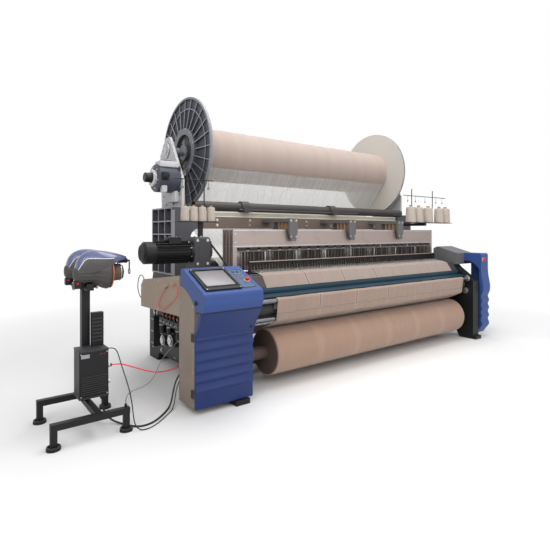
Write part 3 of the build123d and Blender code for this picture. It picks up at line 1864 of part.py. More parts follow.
with BuildPart() as cone_stands:
    for tray_z, cross_z, left, right, rod_xs, cone_xs in (left_stand, right_stand):
        with BuildSketch(floor_plane(tray_z)):
            with Locations(((left + right) / 2, tray_y)):
                RectangleRounded(right - left, tray_depth, 12)
        extrude(amount=tray_thickness)
        with BuildSketch(floor_plane(tray_z + tray_thickness)):
            for x in rod_xs:
                with Locations((x, wire_y)):
                    Circle(wire_radius)
        extrude(amount=cross_z - tray_z + wire_rise)
        with BuildSketch(side_plane(left)):
            with Locations((wire_y, cross_z)):
                Circle(wire_radius * 0.8)
        extrude(amount=right - left)
        with BuildSketch(floor_plane(cross_z - eye_drop)):
            for x in cone_xs:
                with Locations((x, wire_y)):
                    Circle(eye_stem)
        extrude(amount=eye_drop)
        with BuildSketch(front_plane(wire_y + eye_wire)):
            for x in cone_xs:
                with Locations((x, cross_z - eye_drop - eye_radius + eye_wire)):
                    Circle(eye_radius)
                    Circle(eye_radius - 2 * eye_wire, mode=Mode.SUBTRACT)
        extrude(amount=2 * eye_wire)
    with BuildSketch(floor_plane(gearbox_top)):
        with Locations((gearbox_centre_x + 26, tray_y)):
            Circle(26)
    extrude(amount=left_tray_z - gearbox_top)
    with BuildSketch(front_plane(girder_front)):
        with Locations((beam_x + arm_inner + 40, right_tray_z - 20)):
            Rectangle(44, 40)
    extrude(amount=girder_front - tray_y + tray_depth / 2)
save(cone_stands, "cone_stands")

# Weft feeder stand: raised bars on feet, post and tee

post_x = stand_x

with BuildPart() as feeder_stand:
    with BuildSketch(side_plane(base_left)):
        with Locations((base_front_y, base_bar_z), (base_rear_y, base_bar_z)):
            Rectangle(base_bar, base_bar)
    extrude(amount=base_right - base_left)
    with BuildSketch(front_plane(base_rear_y)):
        with Locations((post_x, base_bar_z)):
            Rectangle(base_bar, base_bar)
    extrude(amount=base_rear_y - base_front_y)
    with BuildSketch(floor_plane(0)):
        for foot_x in (base_left + base_bar / 2, base_right - base_bar / 2):
            for foot_y in (base_front_y, base_rear_y):
                with Locations((foot_x, foot_y)):
                    RectangleRounded(base_bar, base_bar, base_corner)
    extrude(amount=base_bar_z)
    with BuildSketch(floor_plane(0)):
        for foot_x in (base_left + base_bar / 2, base_right - base_bar / 2):
            for foot_y in (base_front_y, base_rear_y):
                with Locations((foot_x, foot_y)):
                    Circle(base_foot_radius)
    extrude(amount=base_foot_height)
    with BuildSketch(floor_plane(base_bar_z)):
        with Locations((post_x, post_y)):
            Rectangle(post_size, post_size)
    extrude(amount=post_top - base_bar_z)
    with BuildSketch(front_plane(feeder_ys[1] + tee_overhang)):
        with Locations((post_x, post_top + tee_size / 2)):
            Rectangle(tee_size, tee_size)
    extrude(amount=feeder_ys[1] - feeder_ys[0] + 2 * tee_overhang)
    with BuildSketch(side_plane(post_x - tee_sleeve_half)):
        with Locations((post_y, post_top + tee_size / 2)):
            Circle(tee_sleeve_radius)
    extrude(amount=2 * tee_sleeve_half)
    clip_x, clip_y, clip_z = signal_cable_route[-1]
    with BuildSketch(floor_plane(base_bar_z)):
        with Locations((clip_x, clip_y)):
            Circle(clip_radius)
    extrude(amount=clip_z - base_bar_z)
save(feeder_stand, "feeder_stand")

# Controller box on the post and the power supply on top of it

control_front = post_y - post_size / 2 - control_depth
supply_x = control_left + control_width - supply_width / 2 - supply_edge
supply_y = control_front + control_depth - supply_rear_margin

with BuildPart() as feeder_controller:
    with BuildSketch(floor_plane(control_bottom)):
        with Locations((control_left + control_width / 2, control_front + control_depth / 2)):
            Rectangle(control_width, control_depth)
    extrude(amount=control_height)
    chamfer(edges().filter_by(Axis.Z), control_corner)
    with BuildSketch(floor_plane(control_bottom + control_height)):
        with Locations((supply_x, supply_y)):
            RectangleRounded(supply_width, supply_depth, supply_corner)
    extrude(amount=supply_height)
    with BuildSketch(side_plane(control_left + control_width)):
        for x, y, z in (red_tube_route[0], stand_cable_route[0]):
            with Locations((y, z)):
                Circle(socket_radius)
    extrude(amount=spigot_length)
    plug_x, plug_y, plug_z = floor_cable_route[0]
    with BuildSketch(floor_plane(plug_z)):
        with Locations((plug_x, plug_y)):
            Circle(floor_cable_diameter / 2 + 2 * spigot_wall)
    extrude(amount=control_bottom - plug_z)
save(feeder_controller, "feeder_controller")

# Weft feeders: bell-shaped housing, saddle cover and fixed drum on one shaft

disc_x = feeder_mouth_x + seat_gap
drum_x = disc_x + disc_thickness + seat_gap
feeder_low = feeder_z - post_top - tee_size


saddle_tip = drum_x + drum_length + saddle_beak
saddle_tail = feeder_mouth_x - saddle_length
nose_tip = saddle_tip + nose_reach

with BuildPart() as weft_feeders:
    for feeder_y in feeder_ys:
        with BuildSketch(turning_plane(feeder_y, feeder_z)):
            Polygon(
                (feeder_mouth_x - housing_tail[0][0], 0),
                *[(feeder_mouth_x - back, radius) for back, radius in housing_tail],
                (post_x - housing_waist[0], feeder_low - seat_gap),
                (post_x + housing_waist[1], feeder_low - seat_gap),
                *[(feeder_mouth_x - back, radius) for back, radius in housing_bell],
                (feeder_mouth_x, disc_radius + drum_edge),
                (feeder_mouth_x, feeder_shaft),
                (drum_x, feeder_shaft),
                (drum_x, drum_radius - drum_edge),
                (drum_x + drum_edge, drum_radius),
                (drum_x + drum_length - drum_edge, drum_radius - drum_edge),
                (drum_x + drum_length, drum_radius - drum_taper),
                (drum_x + drum_length, 0),
                align=None,
            )
        revolve(axis=roller_axis(feeder_y, feeder_z))
        with BuildSketch(front_plane(feeder_y + feeder_arm / 2)):
            with BuildLine():
                Spline(
                    (saddle_tail, feeder_z + saddle_tail_heights[1]),
                    *[(feeder_mouth_x - back, feeder_z + rise) for back, rise in saddle_crown],
                    (saddle_tip, feeder_z + saddle_beak_heights[0]),
                )
                Polyline(
                    (saddle_tip, feeder_z + saddle_beak_heights[0]),
                    (saddle_tip, feeder_z + saddle_beak_heights[1]),
                    (feeder_mouth_x - saddle_belly[0], feeder_z + saddle_belly[1]),
                    (saddle_tail, feeder_z + saddle_tail_heights[0]),
                    (saddle_tail, feeder_z + saddle_tail_heights[1]),
                )
            make_face()
        extrude(amount=feeder_arm)
        with BuildSketch(front_plane(feeder_y + nose_width / 2)):
            Polygon(
                (feeder_mouth_x - nose_reach, feeder_z + saddle_beak_heights[0]),
                (saddle_tip, feeder_z + feeder_arm),
                (nose_tip, feeder_z + feeder_arm - nose_depth),
                (nose_tip, feeder_z + nose_eye),
                (nose_tip - nose_wall, feeder_z + nose_eye),
                (nose_tip - nose_wall, feeder_z + feeder_arm - 2 * nose_depth),
                (saddle_tip - nose_depth, feeder_z + feeder_arm - nose_depth),
                (feeder_mouth_x - nose_reach, feeder_z + feeder_arm),
                align=None,
            )
        extrude(amount=nose_width)
        with BuildSketch(side_plane(nose_tip - nose_wall)):
            with Locations((feeder_y, feeder_z)):
                Circle(nose_eye + nose_wall)
                Circle(nose_eye, mode=Mode.SUBTRACT)
        extrude(amount=nose_wall)
save(weft_feeders, "weft_feeders")

for feeder_y, label in zip(feeder_ys, ("winding_disc_front", "winding_disc_rear")):
    winding_disc = turned(
        [
            (disc_x, feeder_shaft + running_gap),
            (disc_x, disc_radius),
            (disc_x + disc_thickness, disc_radius - 3),
            (disc_x + disc_thickness, feeder_shaft + running_gap),
        ],
        feeder_y,
        feeder_z,
    )
    save(winding_disc, label)

# Cords: straight runs joined by tangent arcs, each as large as its runs allow


def cord(route, diameter, label):
    """A cord's tube, swept along its hand-set route."""
    points = [Vector(datum_x + x, datum_y + y, z) for x, y, z in route]
    radii = []
    for before, here, after in zip(points, points[1:], points[2:]):
        turn = math.radians((here - before).get_angle(after - here))
        run = min((here - before).length, (after - here).length)
        radii.append(0.45 * run / math.tan(turn / 2))
    with BuildPart() as tube:
        with BuildLine() as run_line:
            FilletPolyline(*points, radius=radii)
        path = run_line.wire()
        with BuildSketch(Plane(origin=path @ 0, z_dir=path % 0)):
            Circle(diameter / 2)
        sweep(path=path)
    save(tube, label)


cord(red_tube_route, red_tube_diameter, "red_air_tube")
cord(signal_cable_route, signal_cable_diameter, "signal_cable")
cord(stand_cable_route, stand_cable_diameter, "stand_cable")
cord(floor_cable_route, floor_cable_diameter, "floor_cable")
cord(motor_hose_route, motor_hose_diameter, "motor_hose")
air_loop_x = -cabinet_outer - elbow_size / 2
cord([(air_loop_x, y, z) for y, z in air_loop_route], air_loop_diameter, "air_loop")
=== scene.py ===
"""Finishes and fine parts of a terry power loom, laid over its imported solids."""

import contextlib
import functools
import itertools
import math

import bpy
from bpy.props import FloatProperty, FloatVectorProperty, PointerProperty
from mathutils import Matrix, Vector


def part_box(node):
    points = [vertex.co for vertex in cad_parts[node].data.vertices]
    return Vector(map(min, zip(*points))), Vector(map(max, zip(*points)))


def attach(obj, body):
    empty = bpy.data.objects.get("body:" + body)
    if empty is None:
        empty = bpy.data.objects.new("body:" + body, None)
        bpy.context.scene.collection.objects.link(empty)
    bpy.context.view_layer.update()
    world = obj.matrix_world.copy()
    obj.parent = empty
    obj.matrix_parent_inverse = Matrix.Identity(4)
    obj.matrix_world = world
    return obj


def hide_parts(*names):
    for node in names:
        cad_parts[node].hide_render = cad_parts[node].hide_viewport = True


bl_info = {
    "name": "Terry power loom",
    "version": (1, 0, 0),
    "blender": (4, 5, 0),
    "location": "View3D > Sidebar > Loom",
    "description": "Builds the finishes, yarns, cloth, cords and fittings of a terry power loom",
    "category": "Object",
}

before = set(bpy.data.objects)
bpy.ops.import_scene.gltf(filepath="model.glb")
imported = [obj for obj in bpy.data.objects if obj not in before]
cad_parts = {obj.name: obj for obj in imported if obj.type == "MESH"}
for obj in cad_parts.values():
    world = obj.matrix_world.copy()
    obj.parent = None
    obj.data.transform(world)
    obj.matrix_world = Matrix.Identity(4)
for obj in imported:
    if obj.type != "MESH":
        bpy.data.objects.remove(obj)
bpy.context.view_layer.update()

# Datum: middle of the side frames and front line of the top girder, in metres
DATUM_X = 0.5035
DATUM_Y = 0.067

# Sizes shared with the solids, in metres from the datum; an axis is its y and z
FRAME_INNER = 1.8165
FRAME_OUTER = 1.9525
CABINET_OUTER = 2.3195
CLOTH_X = 0.1115
CLOTH_WIDTH = 3.122
BEAM_X = -0.025
PILE_AXIS = (0.500, 2.371)
GROUND_AXIS = (0.620, 0.560)
CLOTH_AXIS = (-0.818, 0.311)
TAKEUP_AXIS = (-0.890, 0.740)
ROD_AXES = ((-0.992, 0.817), (-0.970, 0.652))
GUIDE_AXIS = (0.584, 1.640)
REST_AXIS = (0.430, 1.085)
LETOFF_AXIS = (0.262, 2.020)
LETOFF_FACE = -1.876
LETOFF_END = -2.116
MOTOR_AXIS = (-0.383, 1.262)
MOTOR_RIM = 0.0985
SEAM_PITCH = 0.522
SEAM_START = -0.918 - SEAM_PITCH / 2
HEALD_FRONT = -0.435
HEALD_PITCH = 0.060
SLOPE_TOP = (-0.874, 1.145)
SLOPE_FOOT = (-1.254, 0.974)
SLOPE_TILT = math.atan2(SLOPE_TOP[1] - SLOPE_FOOT[1], SLOPE_TOP[0] - SLOPE_FOOT[0])
MOUTH_X = -2.851
FEEDER_Z = 1.135
CONE_Y = -0.380

LEFT, RIGHT, FRONT = (-1, 0, 0), (1, 0, 0), (0, -1, 0)
UP, DOWN = (0, 0, 1), (0, 0, -1)
SIDES = ((-1, "left"), (1, "right"))


def spot(x, y, z):
    """A place in the model, measured from the datum."""
    return Vector((DATUM_X + x, DATUM_Y + y, z))


def linear(*levels):
    """A colour as the eye reads it, 0 to 255, as linear light."""
    shares = [level / 255 for level in levels]
    return tuple(share / 12.92 if share <= 0.04045 else ((share + 0.055) / 1.055) ** 2.4 for share in shares)


def shade(colour, factor):
    """A colour made darker or lighter."""
    return tuple(min(1.0, part * factor) for part in colour)


def shoulder_lines(along):
    """Two lines over a feeder, of which the lower one tops its dark shoulder."""
    return (along + 0.257) * 1.75 + 0.006, along * -0.02 + 0.112


# Shader sums


class Signal:
    """A shader socket that takes part in sums."""

    def __init__(self, finish, socket):
        self.finish = finish
        self.socket = socket

    def math(self, operation, *others):
        return self.finish.math(operation, self, *others)

    def __add__(self, other):
        return self.math("ADD", other)

    def __sub__(self, other):
        return self.math("SUBTRACT", other)

    def __rsub__(self, other):
        return self.finish.math("SUBTRACT", other, self)

    def __mul__(self, other):
        return self.math("MULTIPLY", other)

    def __truediv__(self, other):
        return self.math("DIVIDE", other)

    def __gt__(self, other):
        return self.math("GREATER_THAN", other)

    def __lt__(self, other):
        return self.math("LESS_THAN", other)

    def __abs__(self):
        return self.math("ABSOLUTE")

    __radd__ = __add__
    __rmul__ = __mul__

    def clipped(self):
        return self.math("MAXIMUM", 0.0).math("MINIMUM", 1.0)

    def repeat(self, period):
        """Place within a period, from 0 to 1."""
        return (self / period).math("FRACT")

    def ridge(self, period):
        """A triangle wave, 0 at the period's ends and 1 in its middle."""
        return 1.0 - abs(self.repeat(period) * 2.0 - 1.0)


class Finish:
    """A procedural material, or a world, with the nodes that feed it."""

    def __init__(self, name, kind="materials"):
        self.data = getattr(bpy.data, kind).new(name)
        self.data.use_nodes = True
        self.tree = self.data.node_tree
        self.shader = self.tree.nodes.get("Principled BSDF")

    def node(self, kind, settings=None, sockets=None, output=0):
        """Adds a node: settings first, then its sockets' values or links."""
        made = self.tree.nodes.new(kind)
        for key, value in (settings or {}).items():
            setattr(made, key, value)
        for key, value in (sockets or {}).items():
            self.plug(made.inputs[key], value)
        return Signal(self, made.outputs[output])

    def plug(self, socket, value):
        if isinstance(value, Signal):
            self.tree.links.new(value.socket, socket)
        elif socket.type == "RGBA" and len(value) == 3:
            socket.default_value = (*value, 1.0)
        else:
            socket.default_value = value

    def math(self, operation, *values):
        return self.node("ShaderNodeMath", {"operation": operation}, dict(enumerate(values)))

    @functools.cached_property
    def place(self):
        return self.node("ShaderNodeTexCoord", output="Object")

    def axes(self):
        """The x, y and z of a place, each as a signal."""
        split = self.node("ShaderNodeSeparateXYZ", None, {0: self.place}).socket.node
        return [Signal(self, socket) for socket in split.outputs]

    def around(self, y, z):
        """Place along a roller from the datum, distance from its axis and angle about it."""
        x_place, y_place, z_place = self.axes()
        across, up = y_place - (DATUM_Y + y), z_place - z
        radius = self.math("SQRT", across * across + up * up)
        return x_place - DATUM_X, radius, self.math("ARCTAN2", up, across)

    def noise(self, scale, detail, stretch=None):
        """Noise from 0 to 1; a small stretch draws it out along that axis."""
        place = self.place
        if stretch:
            place = self.node("ShaderNodeMapping", None, {"Vector": place, "Scale": stretch})
        return self.node("ShaderNodeTexNoise", None, {
            "Vector": place, "Scale": scale, "Detail": detail, "Roughness": 0.55})

    def mix(self, factor, first, second):
        return self.node("ShaderNodeMix", {"data_type": "RGBA"}, {0: factor, 6: first, 7: second}, 2)

    def vary(self, factor, colour, low, high):
        """A colour that goes from one shade to another."""
        return self.mix(factor, shade(colour, low), shade(colour, high))

    def bump(self, height, distance):
        return self.node("ShaderNodeBump", None, {"Height": height, "Distance": distance, "Strength": 1.0})

    def seen(self):
        """1 for the rays that show the backdrop: the camera's and those through gloss or glass."""
        rays = self.node("ShaderNodeLightPath").socket.node.outputs
        names = ("Camera", "Glossy", "Transmission")
        camera, gloss, glass = (Signal(self, rays[f"Is {name} Ray"]) for name in names)
        return (camera + gloss + glass).clipped()

    def feed(self, **sockets):
        """Feeds the main shader; a name's underscores stand for spaces."""
        for key, value in sockets.items():
            self.plug(self.shader.inputs[key.replace("_", " ")], value)
        return self


# Finishes


def enamel(name, colour, roughness=0.42, soil=0.35):
    """Sprayed machine enamel: uneven gloss, dust and a little soil near the floor."""
    finish = Finish(name)
    cloud = finish.noise(2.6, 5.0)
    fine = finish.noise(240.0, 2.0)
    streak = finish.noise(5.0, 4.0, (1.0, 1.0, 0.12))
    low = (1.0 - finish.axes()[2] / 0.35).clipped() * soil
    soiled = (low + (streak - 0.62).clipped() * soil * 1.6).clipped()
    base = finish.vary((cloud - 0.3).clipped(), colour, 0.82, 1.16)
    return finish.feed(
        Base_Color=finish.mix(soiled, base, shade(colour, 0.55)),
        Roughness=(cloud * 0.22 + fine * 0.1 + (roughness - 0.1) + soiled * 0.2).clipped(),
        Normal=finish.bump(fine, 0.0006),
        Specular_IOR_Level=0.3,
    )


def moulded(name, colour, roughness=0.42):
    """Moulded plastic: fine leather grain, faint dust and rubbed patches."""
    finish = Finish(name)
    cloud = finish.noise(4.0, 5.0)
    dust = (finish.noise(22.0, 6.0) - 0.6).clipped() * 0.5
    return finish.feed(
        Base_Color=finish.mix(dust, finish.vary(cloud, colour, 0.9, 1.1), shade(colour, 1.3)),
        Roughness=(cloud * 0.16 + dust * 0.5 + roughness).clipped(),
        Normal=finish.bump(finish.noise(900.0, 1.0), 0.0004),
        Specular_IOR_Level=0.32,
    )


def steel(name, colour, roughness=0.3, along=(0.2, 1.0, 1.0)):
    """Ground or drawn steel with lines along the part and faint stains."""
    finish = Finish(name)
    lines = finish.noise(160.0, 3.0, along)
    stain = (finish.noise(7.0, 5.0) - 0.52).clipped()
    return finish.feed(
        Base_Color=finish.mix(stain, finish.vary(lines, colour, 0.8, 1.2), shade(colour, 0.5)),
        Metallic=0.92 - stain * 0.5,
        Roughness=(lines * 0.25 + (roughness - 0.1) + stain * 0.3).clipped(),
        Normal=finish.bump(lines, 0.0003),
    )


def rubber(name, colour, roughness=0.55):
    """Cable sheath or rubber: soft sheen with scuffs."""
    finish = Finish(name)
    scuff = finish.noise(60.0, 5.0)
    return finish.feed(
        Base_Color=finish.vary(scuff, colour, 0.75, 1.35),
        Roughness=(scuff * 0.25 + (roughness - 0.12)).clipped(),
        Normal=finish.bump(scuff, 0.0004),
    )


def ribbed_rubber(name, colour, axis):
    """Roller covering with fine rings and a dulled nap."""
    finish = Finish(name)
    x_place, _, angle = finish.around(*axis)
    nap = finish.noise(120.0, 3.0)
    return finish.feed(
        Base_Color=finish.vary(nap, colour, 0.7, 1.4),
        Roughness=nap * 0.2 + 0.6,
        Normal=finish.bump(x_place.ridge(0.012) * 0.6 + (angle / math.tau).ridge(0.05) * 0.4, 0.0012),
    )


def terry(name, colour, seam=0.0, shadow_line=0.0, fold_highlight=0.0):
    """Terry cloth: looped pile, fine picks, soft creases and the seams between towels; it can also take a
    painted crease shadow with painted shade below it, and painted highlights on folds beside the seams.
    """
    finish = Finish(name)
    x_place, _, z_place = finish.axes()
    loops = finish.noise(620.0, 2.0)
    pick = finish.noise(260.0, 2.0, (1.0, 0.25, 0.25))
    crease = finish.noise(3.2, 3.0, (1.6, 0.5, 0.5))
    shadow = finish.noise(26.0, 4.0, (1.0, 0.12, 0.12))
    base = finish.vary((shadow - 0.25).clipped(), colour, 0.86, 1.1)
    base = finish.mix((loops - 0.55).clipped(), base, shade(colour, 1.35))
    # Painted shadow: a dark wavy line where the cloth creases, and painted shade on the cloth below it.
    if shadow_line:
        edge = shadow_line + (finish.noise(7.0, 6.0, (1.0, 0.0, 0.0)) - 0.5) * 0.07
        base = finish.mix((z_place < edge) * 0.6, base, shade(colour, 0.86))
        base = finish.mix((abs(z_place - edge) < 0.0035) * 0.6, base, shade(colour, 0.42))
    shift = x_place - (DATUM_X + SEAM_START)
    gap = abs(shift.repeat(SEAM_PITCH) - 0.5) * SEAM_PITCH
    inner = shift > 0.0
    if seam:
        line = (gap < 0.0065) * inner
        if shadow_line:
            line = line * (z_place.repeat(0.031) > 0.32) * (z_place > shadow_line)
        border = (1.0 - (abs(gap - 0.015) / 0.007).clipped()) * inner
        base = finish.mix(border * 0.5, base, shade(colour, 1.45))
        base = finish.mix(line * seam, base, shade(colour, 0.26))
    # Painted highlight: lighter lines along the folds beside the seams.
    if fold_highlight:
        lit_folds = (gap / 0.018).ridge(1.0) * (gap < 0.045) * inner
        base = finish.mix(lit_folds * fold_highlight, base, shade(colour, 1.4))
    return finish.feed(
        Base_Color=base,
        Roughness=0.86 + loops * 0.1,
        Normal=finish.bump(loops * 0.35 + pick * 0.3 + crease * 0.35, 0.004),
        Sheen_Weight=0.25,
        Sheen_Roughness=0.6,
    )


def wound(name, colour):
    """Yarn wound on a beam: fine rings, broad soft bands and a little fuzz."""
    finish = Finish(name)
    rings = (finish.axes()[0] - DATUM_X).ridge(0.006)
    threads = finish.noise(520.0, 2.0, (1.0, 0.03, 0.03))
    base = finish.vary(finish.noise(9.0, 4.0, (1.0, 0.05, 0.05)), colour, 0.84, 1.12)
    return finish.feed(
        Base_Color=finish.mix((threads - 0.45).clipped(), base, shade(colour, 0.72)),
        Roughness=0.74 + threads * 0.2,
        Normal=finish.bump(rings * 0.3 + threads * 0.7, 0.0016),
        Sheen_Weight=0.15,
    )


def warp(name, colour):
    """A sheet of parallel threads running over the rollers."""
    finish = Finish(name)
    thread = finish.axes()[0].ridge(0.0035)
    streak = finish.noise(90.0, 4.0, (1.0, 0.01, 0.01))
    wide = finish.noise(6.0, 3.0, (1.0, 0.02, 0.02))
    base = finish.vary((streak - 0.35).clipped(), colour, 0.86, 1.04)
    return finish.feed(
        Base_Color=finish.mix((wide - 0.5).clipped() * 0.6, base, shade(colour, 0.8)),
        Roughness=0.8,
        Alpha=(streak * 0.42 + 0.16).clipped(),
        Normal=finish.bump(thread * 0.6 + streak * 0.4, 0.0012),
    )


def ribbed_flange(name, colour, edge):
    """Beam flange: slate web, with painted highlights on its rib edges, rim, ring and hub."""
    finish = Finish(name)
    x_place, radius, _ = finish.around(*PILE_AXIS)
    depth = abs(x_place - BEAM_X) - 1.6025
    rib_line = 0.046 - (radius - 0.265) * 0.0706
    rib_edge = (depth > rib_line - 0.0035) * (radius > 0.287) * (radius < 0.603)
    ring_edge = (abs(radius - 0.496) < 0.0062) * (depth > 0.0225)
    hub = (depth > 0.0465) * (radius < 0.30)
    cloud = finish.noise(9.0, 5.0)
    speckle = finish.noise(60.0, 4.0)
    # Painted highlight: rib edges, ring edge, rim and hub are made lighter where light catches them.
    lit_edges = (rib_edge + ring_edge * 0.7 + (radius > 0.6045) * 0.55 + hub * 0.45).clipped()
    bright = lit_edges * (speckle * 0.5 + 0.6)
    base = finish.mix(bright.clipped(), finish.vary(cloud, colour, 0.75, 1.25), linear(*edge))
    return finish.feed(
        Base_Color=finish.mix((depth < 0.0015) * 0.9, base, linear(196, 190, 182)),
        Metallic=bright.clipped() * 0.5,
        Roughness=(0.5 - bright * 0.14 + cloud * 0.12).clipped(),
        Normal=finish.bump(speckle, 0.0006),
    )


def timber(name, colour):
    """Plain brown wood with long grain."""
    finish = Finish(name)
    grain = finish.noise(34.0, 6.0, (1.0, 1.0, 0.09))
    pore = finish.noise(300.0, 3.0, (1.0, 1.0, 0.05))
    return finish.feed(
        Base_Color=finish.vary(grain, colour, 0.6, 1.35),
        Roughness=grain * 0.3 + 0.4,
        Normal=finish.bump(grain * 0.6 + pore * 0.4, 0.0008),
    )


def cone_yarn(name, colour, bright):
    """Ribbed yarn package: rings of thread with rubbed edges."""
    finish = Finish(name)
    layer = finish.axes()[2].ridge(0.009)
    fuzz = finish.noise(420.0, 3.0)
    return finish.feed(
        Base_Color=finish.mix((layer * 0.4 + fuzz * 0.4).clipped(), shade(colour, 0.8), linear(*bright)),
        Roughness=fuzz * 0.2 + 0.65,
        Normal=finish.bump(layer * 0.5 + fuzz * 0.5, 0.0012),
    )


def glass_screen(name, colour):
    """Grey panel of the console behind a clear film, with faint fingermarks."""
    finish = Finish(name)
    return finish.feed(
        Base_Color=finish.vary(finish.noise(3.0, 2.0), colour, 0.9, 1.1),
        Roughness=(finish.noise(38.0, 6.0) * 0.25 + 0.22).clipped(),
        Coat_Weight=0.12,
    )


def saddle_shell(name, colour, deep):
    """Feeder saddle: glossy blue that darkens towards its beak, and a dark shoulder."""
    finish = Finish(name)
    x_place, _, z_place = finish.axes()
    along = x_place - (DATUM_X + MOUTH_X)
    line = finish.math("MINIMUM", *shoulder_lines(along))
    shoulder = (z_place - FEEDER_Z < line) * (along < 0.006)
    cloud = finish.noise(5.0, 4.0)
    base = finish.vary(cloud, colour, 0.88, 1.14)
    base = finish.mix(((along + 0.03) / 0.13).clipped() * 0.75, base, linear(*deep))
    return finish.feed(
        Base_Color=finish.mix(shoulder, base, linear(64, 61, 61)),
        Roughness=cloud * 0.15 + 0.22 + shoulder * 0.2,
        Coat_Weight=(0.6 - shoulder * 0.6).clipped(),
        Normal=finish.bump(finish.noise(700.0, 1.0), 0.0003),
    )


def letoff_zones(name, colour):
    """Let-off motor: slate body, pale ring at its end and a black connector."""
    finish = Finish(name)
    x_place, radius, _ = finish.around(*LETOFF_AXIS)
    cloud = finish.noise(5.0, 5.0)
    base = finish.vary(cloud, colour, 0.85, 1.15)
    base = finish.mix((x_place < LETOFF_END - 0.0005) * (radius > 0.05), base, linear(222, 222, 224))
    return finish.feed(
        Base_Color=finish.mix(x_place < LETOFF_END - 0.0245, base, linear(24, 24, 26)),
        Roughness=cloud * 0.2 + 0.32,
        Normal=finish.bump(finish.noise(240.0, 2.0), 0.0005),
        Specular_IOR_Level=0.32,
    )


def ribbed_stand(name, colour, edge):
    """Cast stand: slate enamel with painted highlights on its outer ribs."""
    finish = Finish(name)
    place = finish.axes()[0] - DATUM_X
    outer = (place < -1.9915) + (place > 1.9415)
    cloud = finish.noise(5.0, 5.0)
    speckle = finish.noise(48.0, 4.0)
    base = finish.vary(cloud, colour, 0.75, 1.2)
    # Painted highlight on the outer ribs, where the light catches them.
    return finish.feed(
        Base_Color=finish.mix((outer * (speckle * 0.6 + 0.5)).clipped(), base, linear(*edge)),
        Roughness=cloud * 0.2 + 0.4,
        Normal=finish.bump(speckle, 0.0005),
        Specular_IOR_Level=0.3,
    )


# Each finish: its kind, name and colour, and what else the kind takes. A colour
# is one that the user sets, or 0 to 255 as the eye reads it, or linear light up to 1.
PALETTE = (
    (enamel, "frame_black", "enamel_black", 0.4),
    (enamel, "girder_brown", (124, 108, 99)),
    (enamel, "band_cream", (196, 186, 160), 0.5),
    (enamel, "breast_grey", (66, 61, 58)),
    (enamel, "strip_teal", (18, 52, 68), 0.44),
    (enamel, "bracket_grey", (106, 104, 104), 0.44),
    # Painted light: this light grey is the lit look of the stands' slate paint on faces turned to the light.
    (enamel, "plate_grey", (206, 204, 206)),
    (enamel, "gearbox_grey", (66, 65, 68), 0.46),
    (enamel, "motor_black", (22, 22, 24)),
    (enamel, "beige", "sheet_beige", 0.46, 0.25),
    (enamel, "guard_beige", (160, 142, 126), 0.46, 0.2),
    (enamel, "toe_grey", (112, 104, 98), 0.45),
    (enamel, "tube_dark", (70, 66, 64), 0.4),
    (enamel, "core_dark", (96, 80, 74), 0.5),
    (enamel, "unit_black", (40, 40, 42), 0.45),
    (moulded, "blue", "hood_blue", 0.36),
    (moulded, "door_blue", "door_blue", 0.36),
    (moulded, "hump_grey", (98, 98, 100), 0.45),
    (moulded, "black_plastic", (20, 20, 22)),
    (moulded, "grey_plastic", (120, 120, 122)),
    (moulded, "dark_plastic", (52, 52, 54), 0.45),
    (moulded, "collar_pale", (214, 178, 160), 0.4),
    (moulded, "mushroom_red", (196, 30, 34), 0.3),
    (moulded, "orange", (214, 108, 52), 0.4),
    (moulded, "white_plastic", (226, 226, 224), 0.4),
    (moulded, "feeder_grey", (70, 67, 66)),
    (moulded, "key_teal", (62, 92, 124), 0.38),
    (moulded, "label_grey", (150, 152, 156), 0.5),
    (moulded, "ring_white", (236, 236, 236), 0.4),
    (moulded, "drum_yarn", (96, 84, 76), 0.6),
    (moulded, "disc_grey", (92, 92, 94), 0.4),
    (steel, "steel", (0.46, 0.46, 0.48)),
    # Painted shade: the polished rods' steel is darkened to stand for the dark room that they reflect.
    (steel, "rod_steel", (0.17, 0.17, 0.18), 0.26),
    (steel, "alloy", (0.52, 0.52, 0.54), 0.38),
    (steel, "dull_alloy", (166, 152, 147), 0.5),
    # Painted shade: the reed's steel dents are coloured nearly black, as they look in shade.
    (steel, "reed_steel", (0.036, 0.033, 0.031), 0.5, (1.0, 1.0, 0.1)),
    # Painted shade: the heald wires are bright steel but are coloured dark brown, as they look in shade.
    (rubber, "heald_wire", (50, 43, 39), 0.62),
    (rubber, "strand_white", (222, 216, 208), 0.8),
    (rubber, "hook_black", (26, 23, 23)),
    (rubber, "sheath_black", (22, 22, 24)),
    (rubber, "sheath_grey", (104, 106, 112)),
    (rubber, "tube_red", (230, 62, 68), 0.36),
    (ribbed_rubber, "takeup_rubber", (52, 50, 50), TAKEUP_AXIS),
    (letoff_zones, "letoff_slate", (70, 74, 84)),
    # The stand's second colour is the painted highlight on its outer ribs.
    (ribbed_stand, "stand_slate", (84, 84, 90), (150, 150, 154)),
    (saddle_shell, "saddle_shell", (80, 86, 128), (32, 44, 86)),
    (terry, "cloth_upper", (152, 134, 124), 0.8),
    # The lower cloth's last number is the height of its painted crease shadow.
    (terry, "cloth_lower", (158, 133, 119), 0.85, 0.700),
    # The roll's last number is the strength of its painted fold highlights.
    (terry, "cloth_roll", (162, 130, 110), 0.0, 0.0, 0.4),
    (wound, "pile_yarn", (170, 153, 144)),
    (wound, "ground_yarn", (206, 198, 190)),
    (warp, "pile_threads", (246, 244, 241)),
    (warp, "ground_threads", (226, 222, 214)),
    # The flange's second colour is the painted highlight on its rib edges, rim, ring and hub.
    (ribbed_flange, "flange", (66, 68, 76), (168, 170, 176)),
    (timber, "timber", (168, 136, 106)),
    (cone_yarn, "cone_cream", (182, 168, 156), (208, 197, 186)),
    (glass_screen, "screen", (132, 128, 131)),
)

LOOKS = {}


# Modelling steps. Blocks, rings, rods and turned pieces take places from the datum.


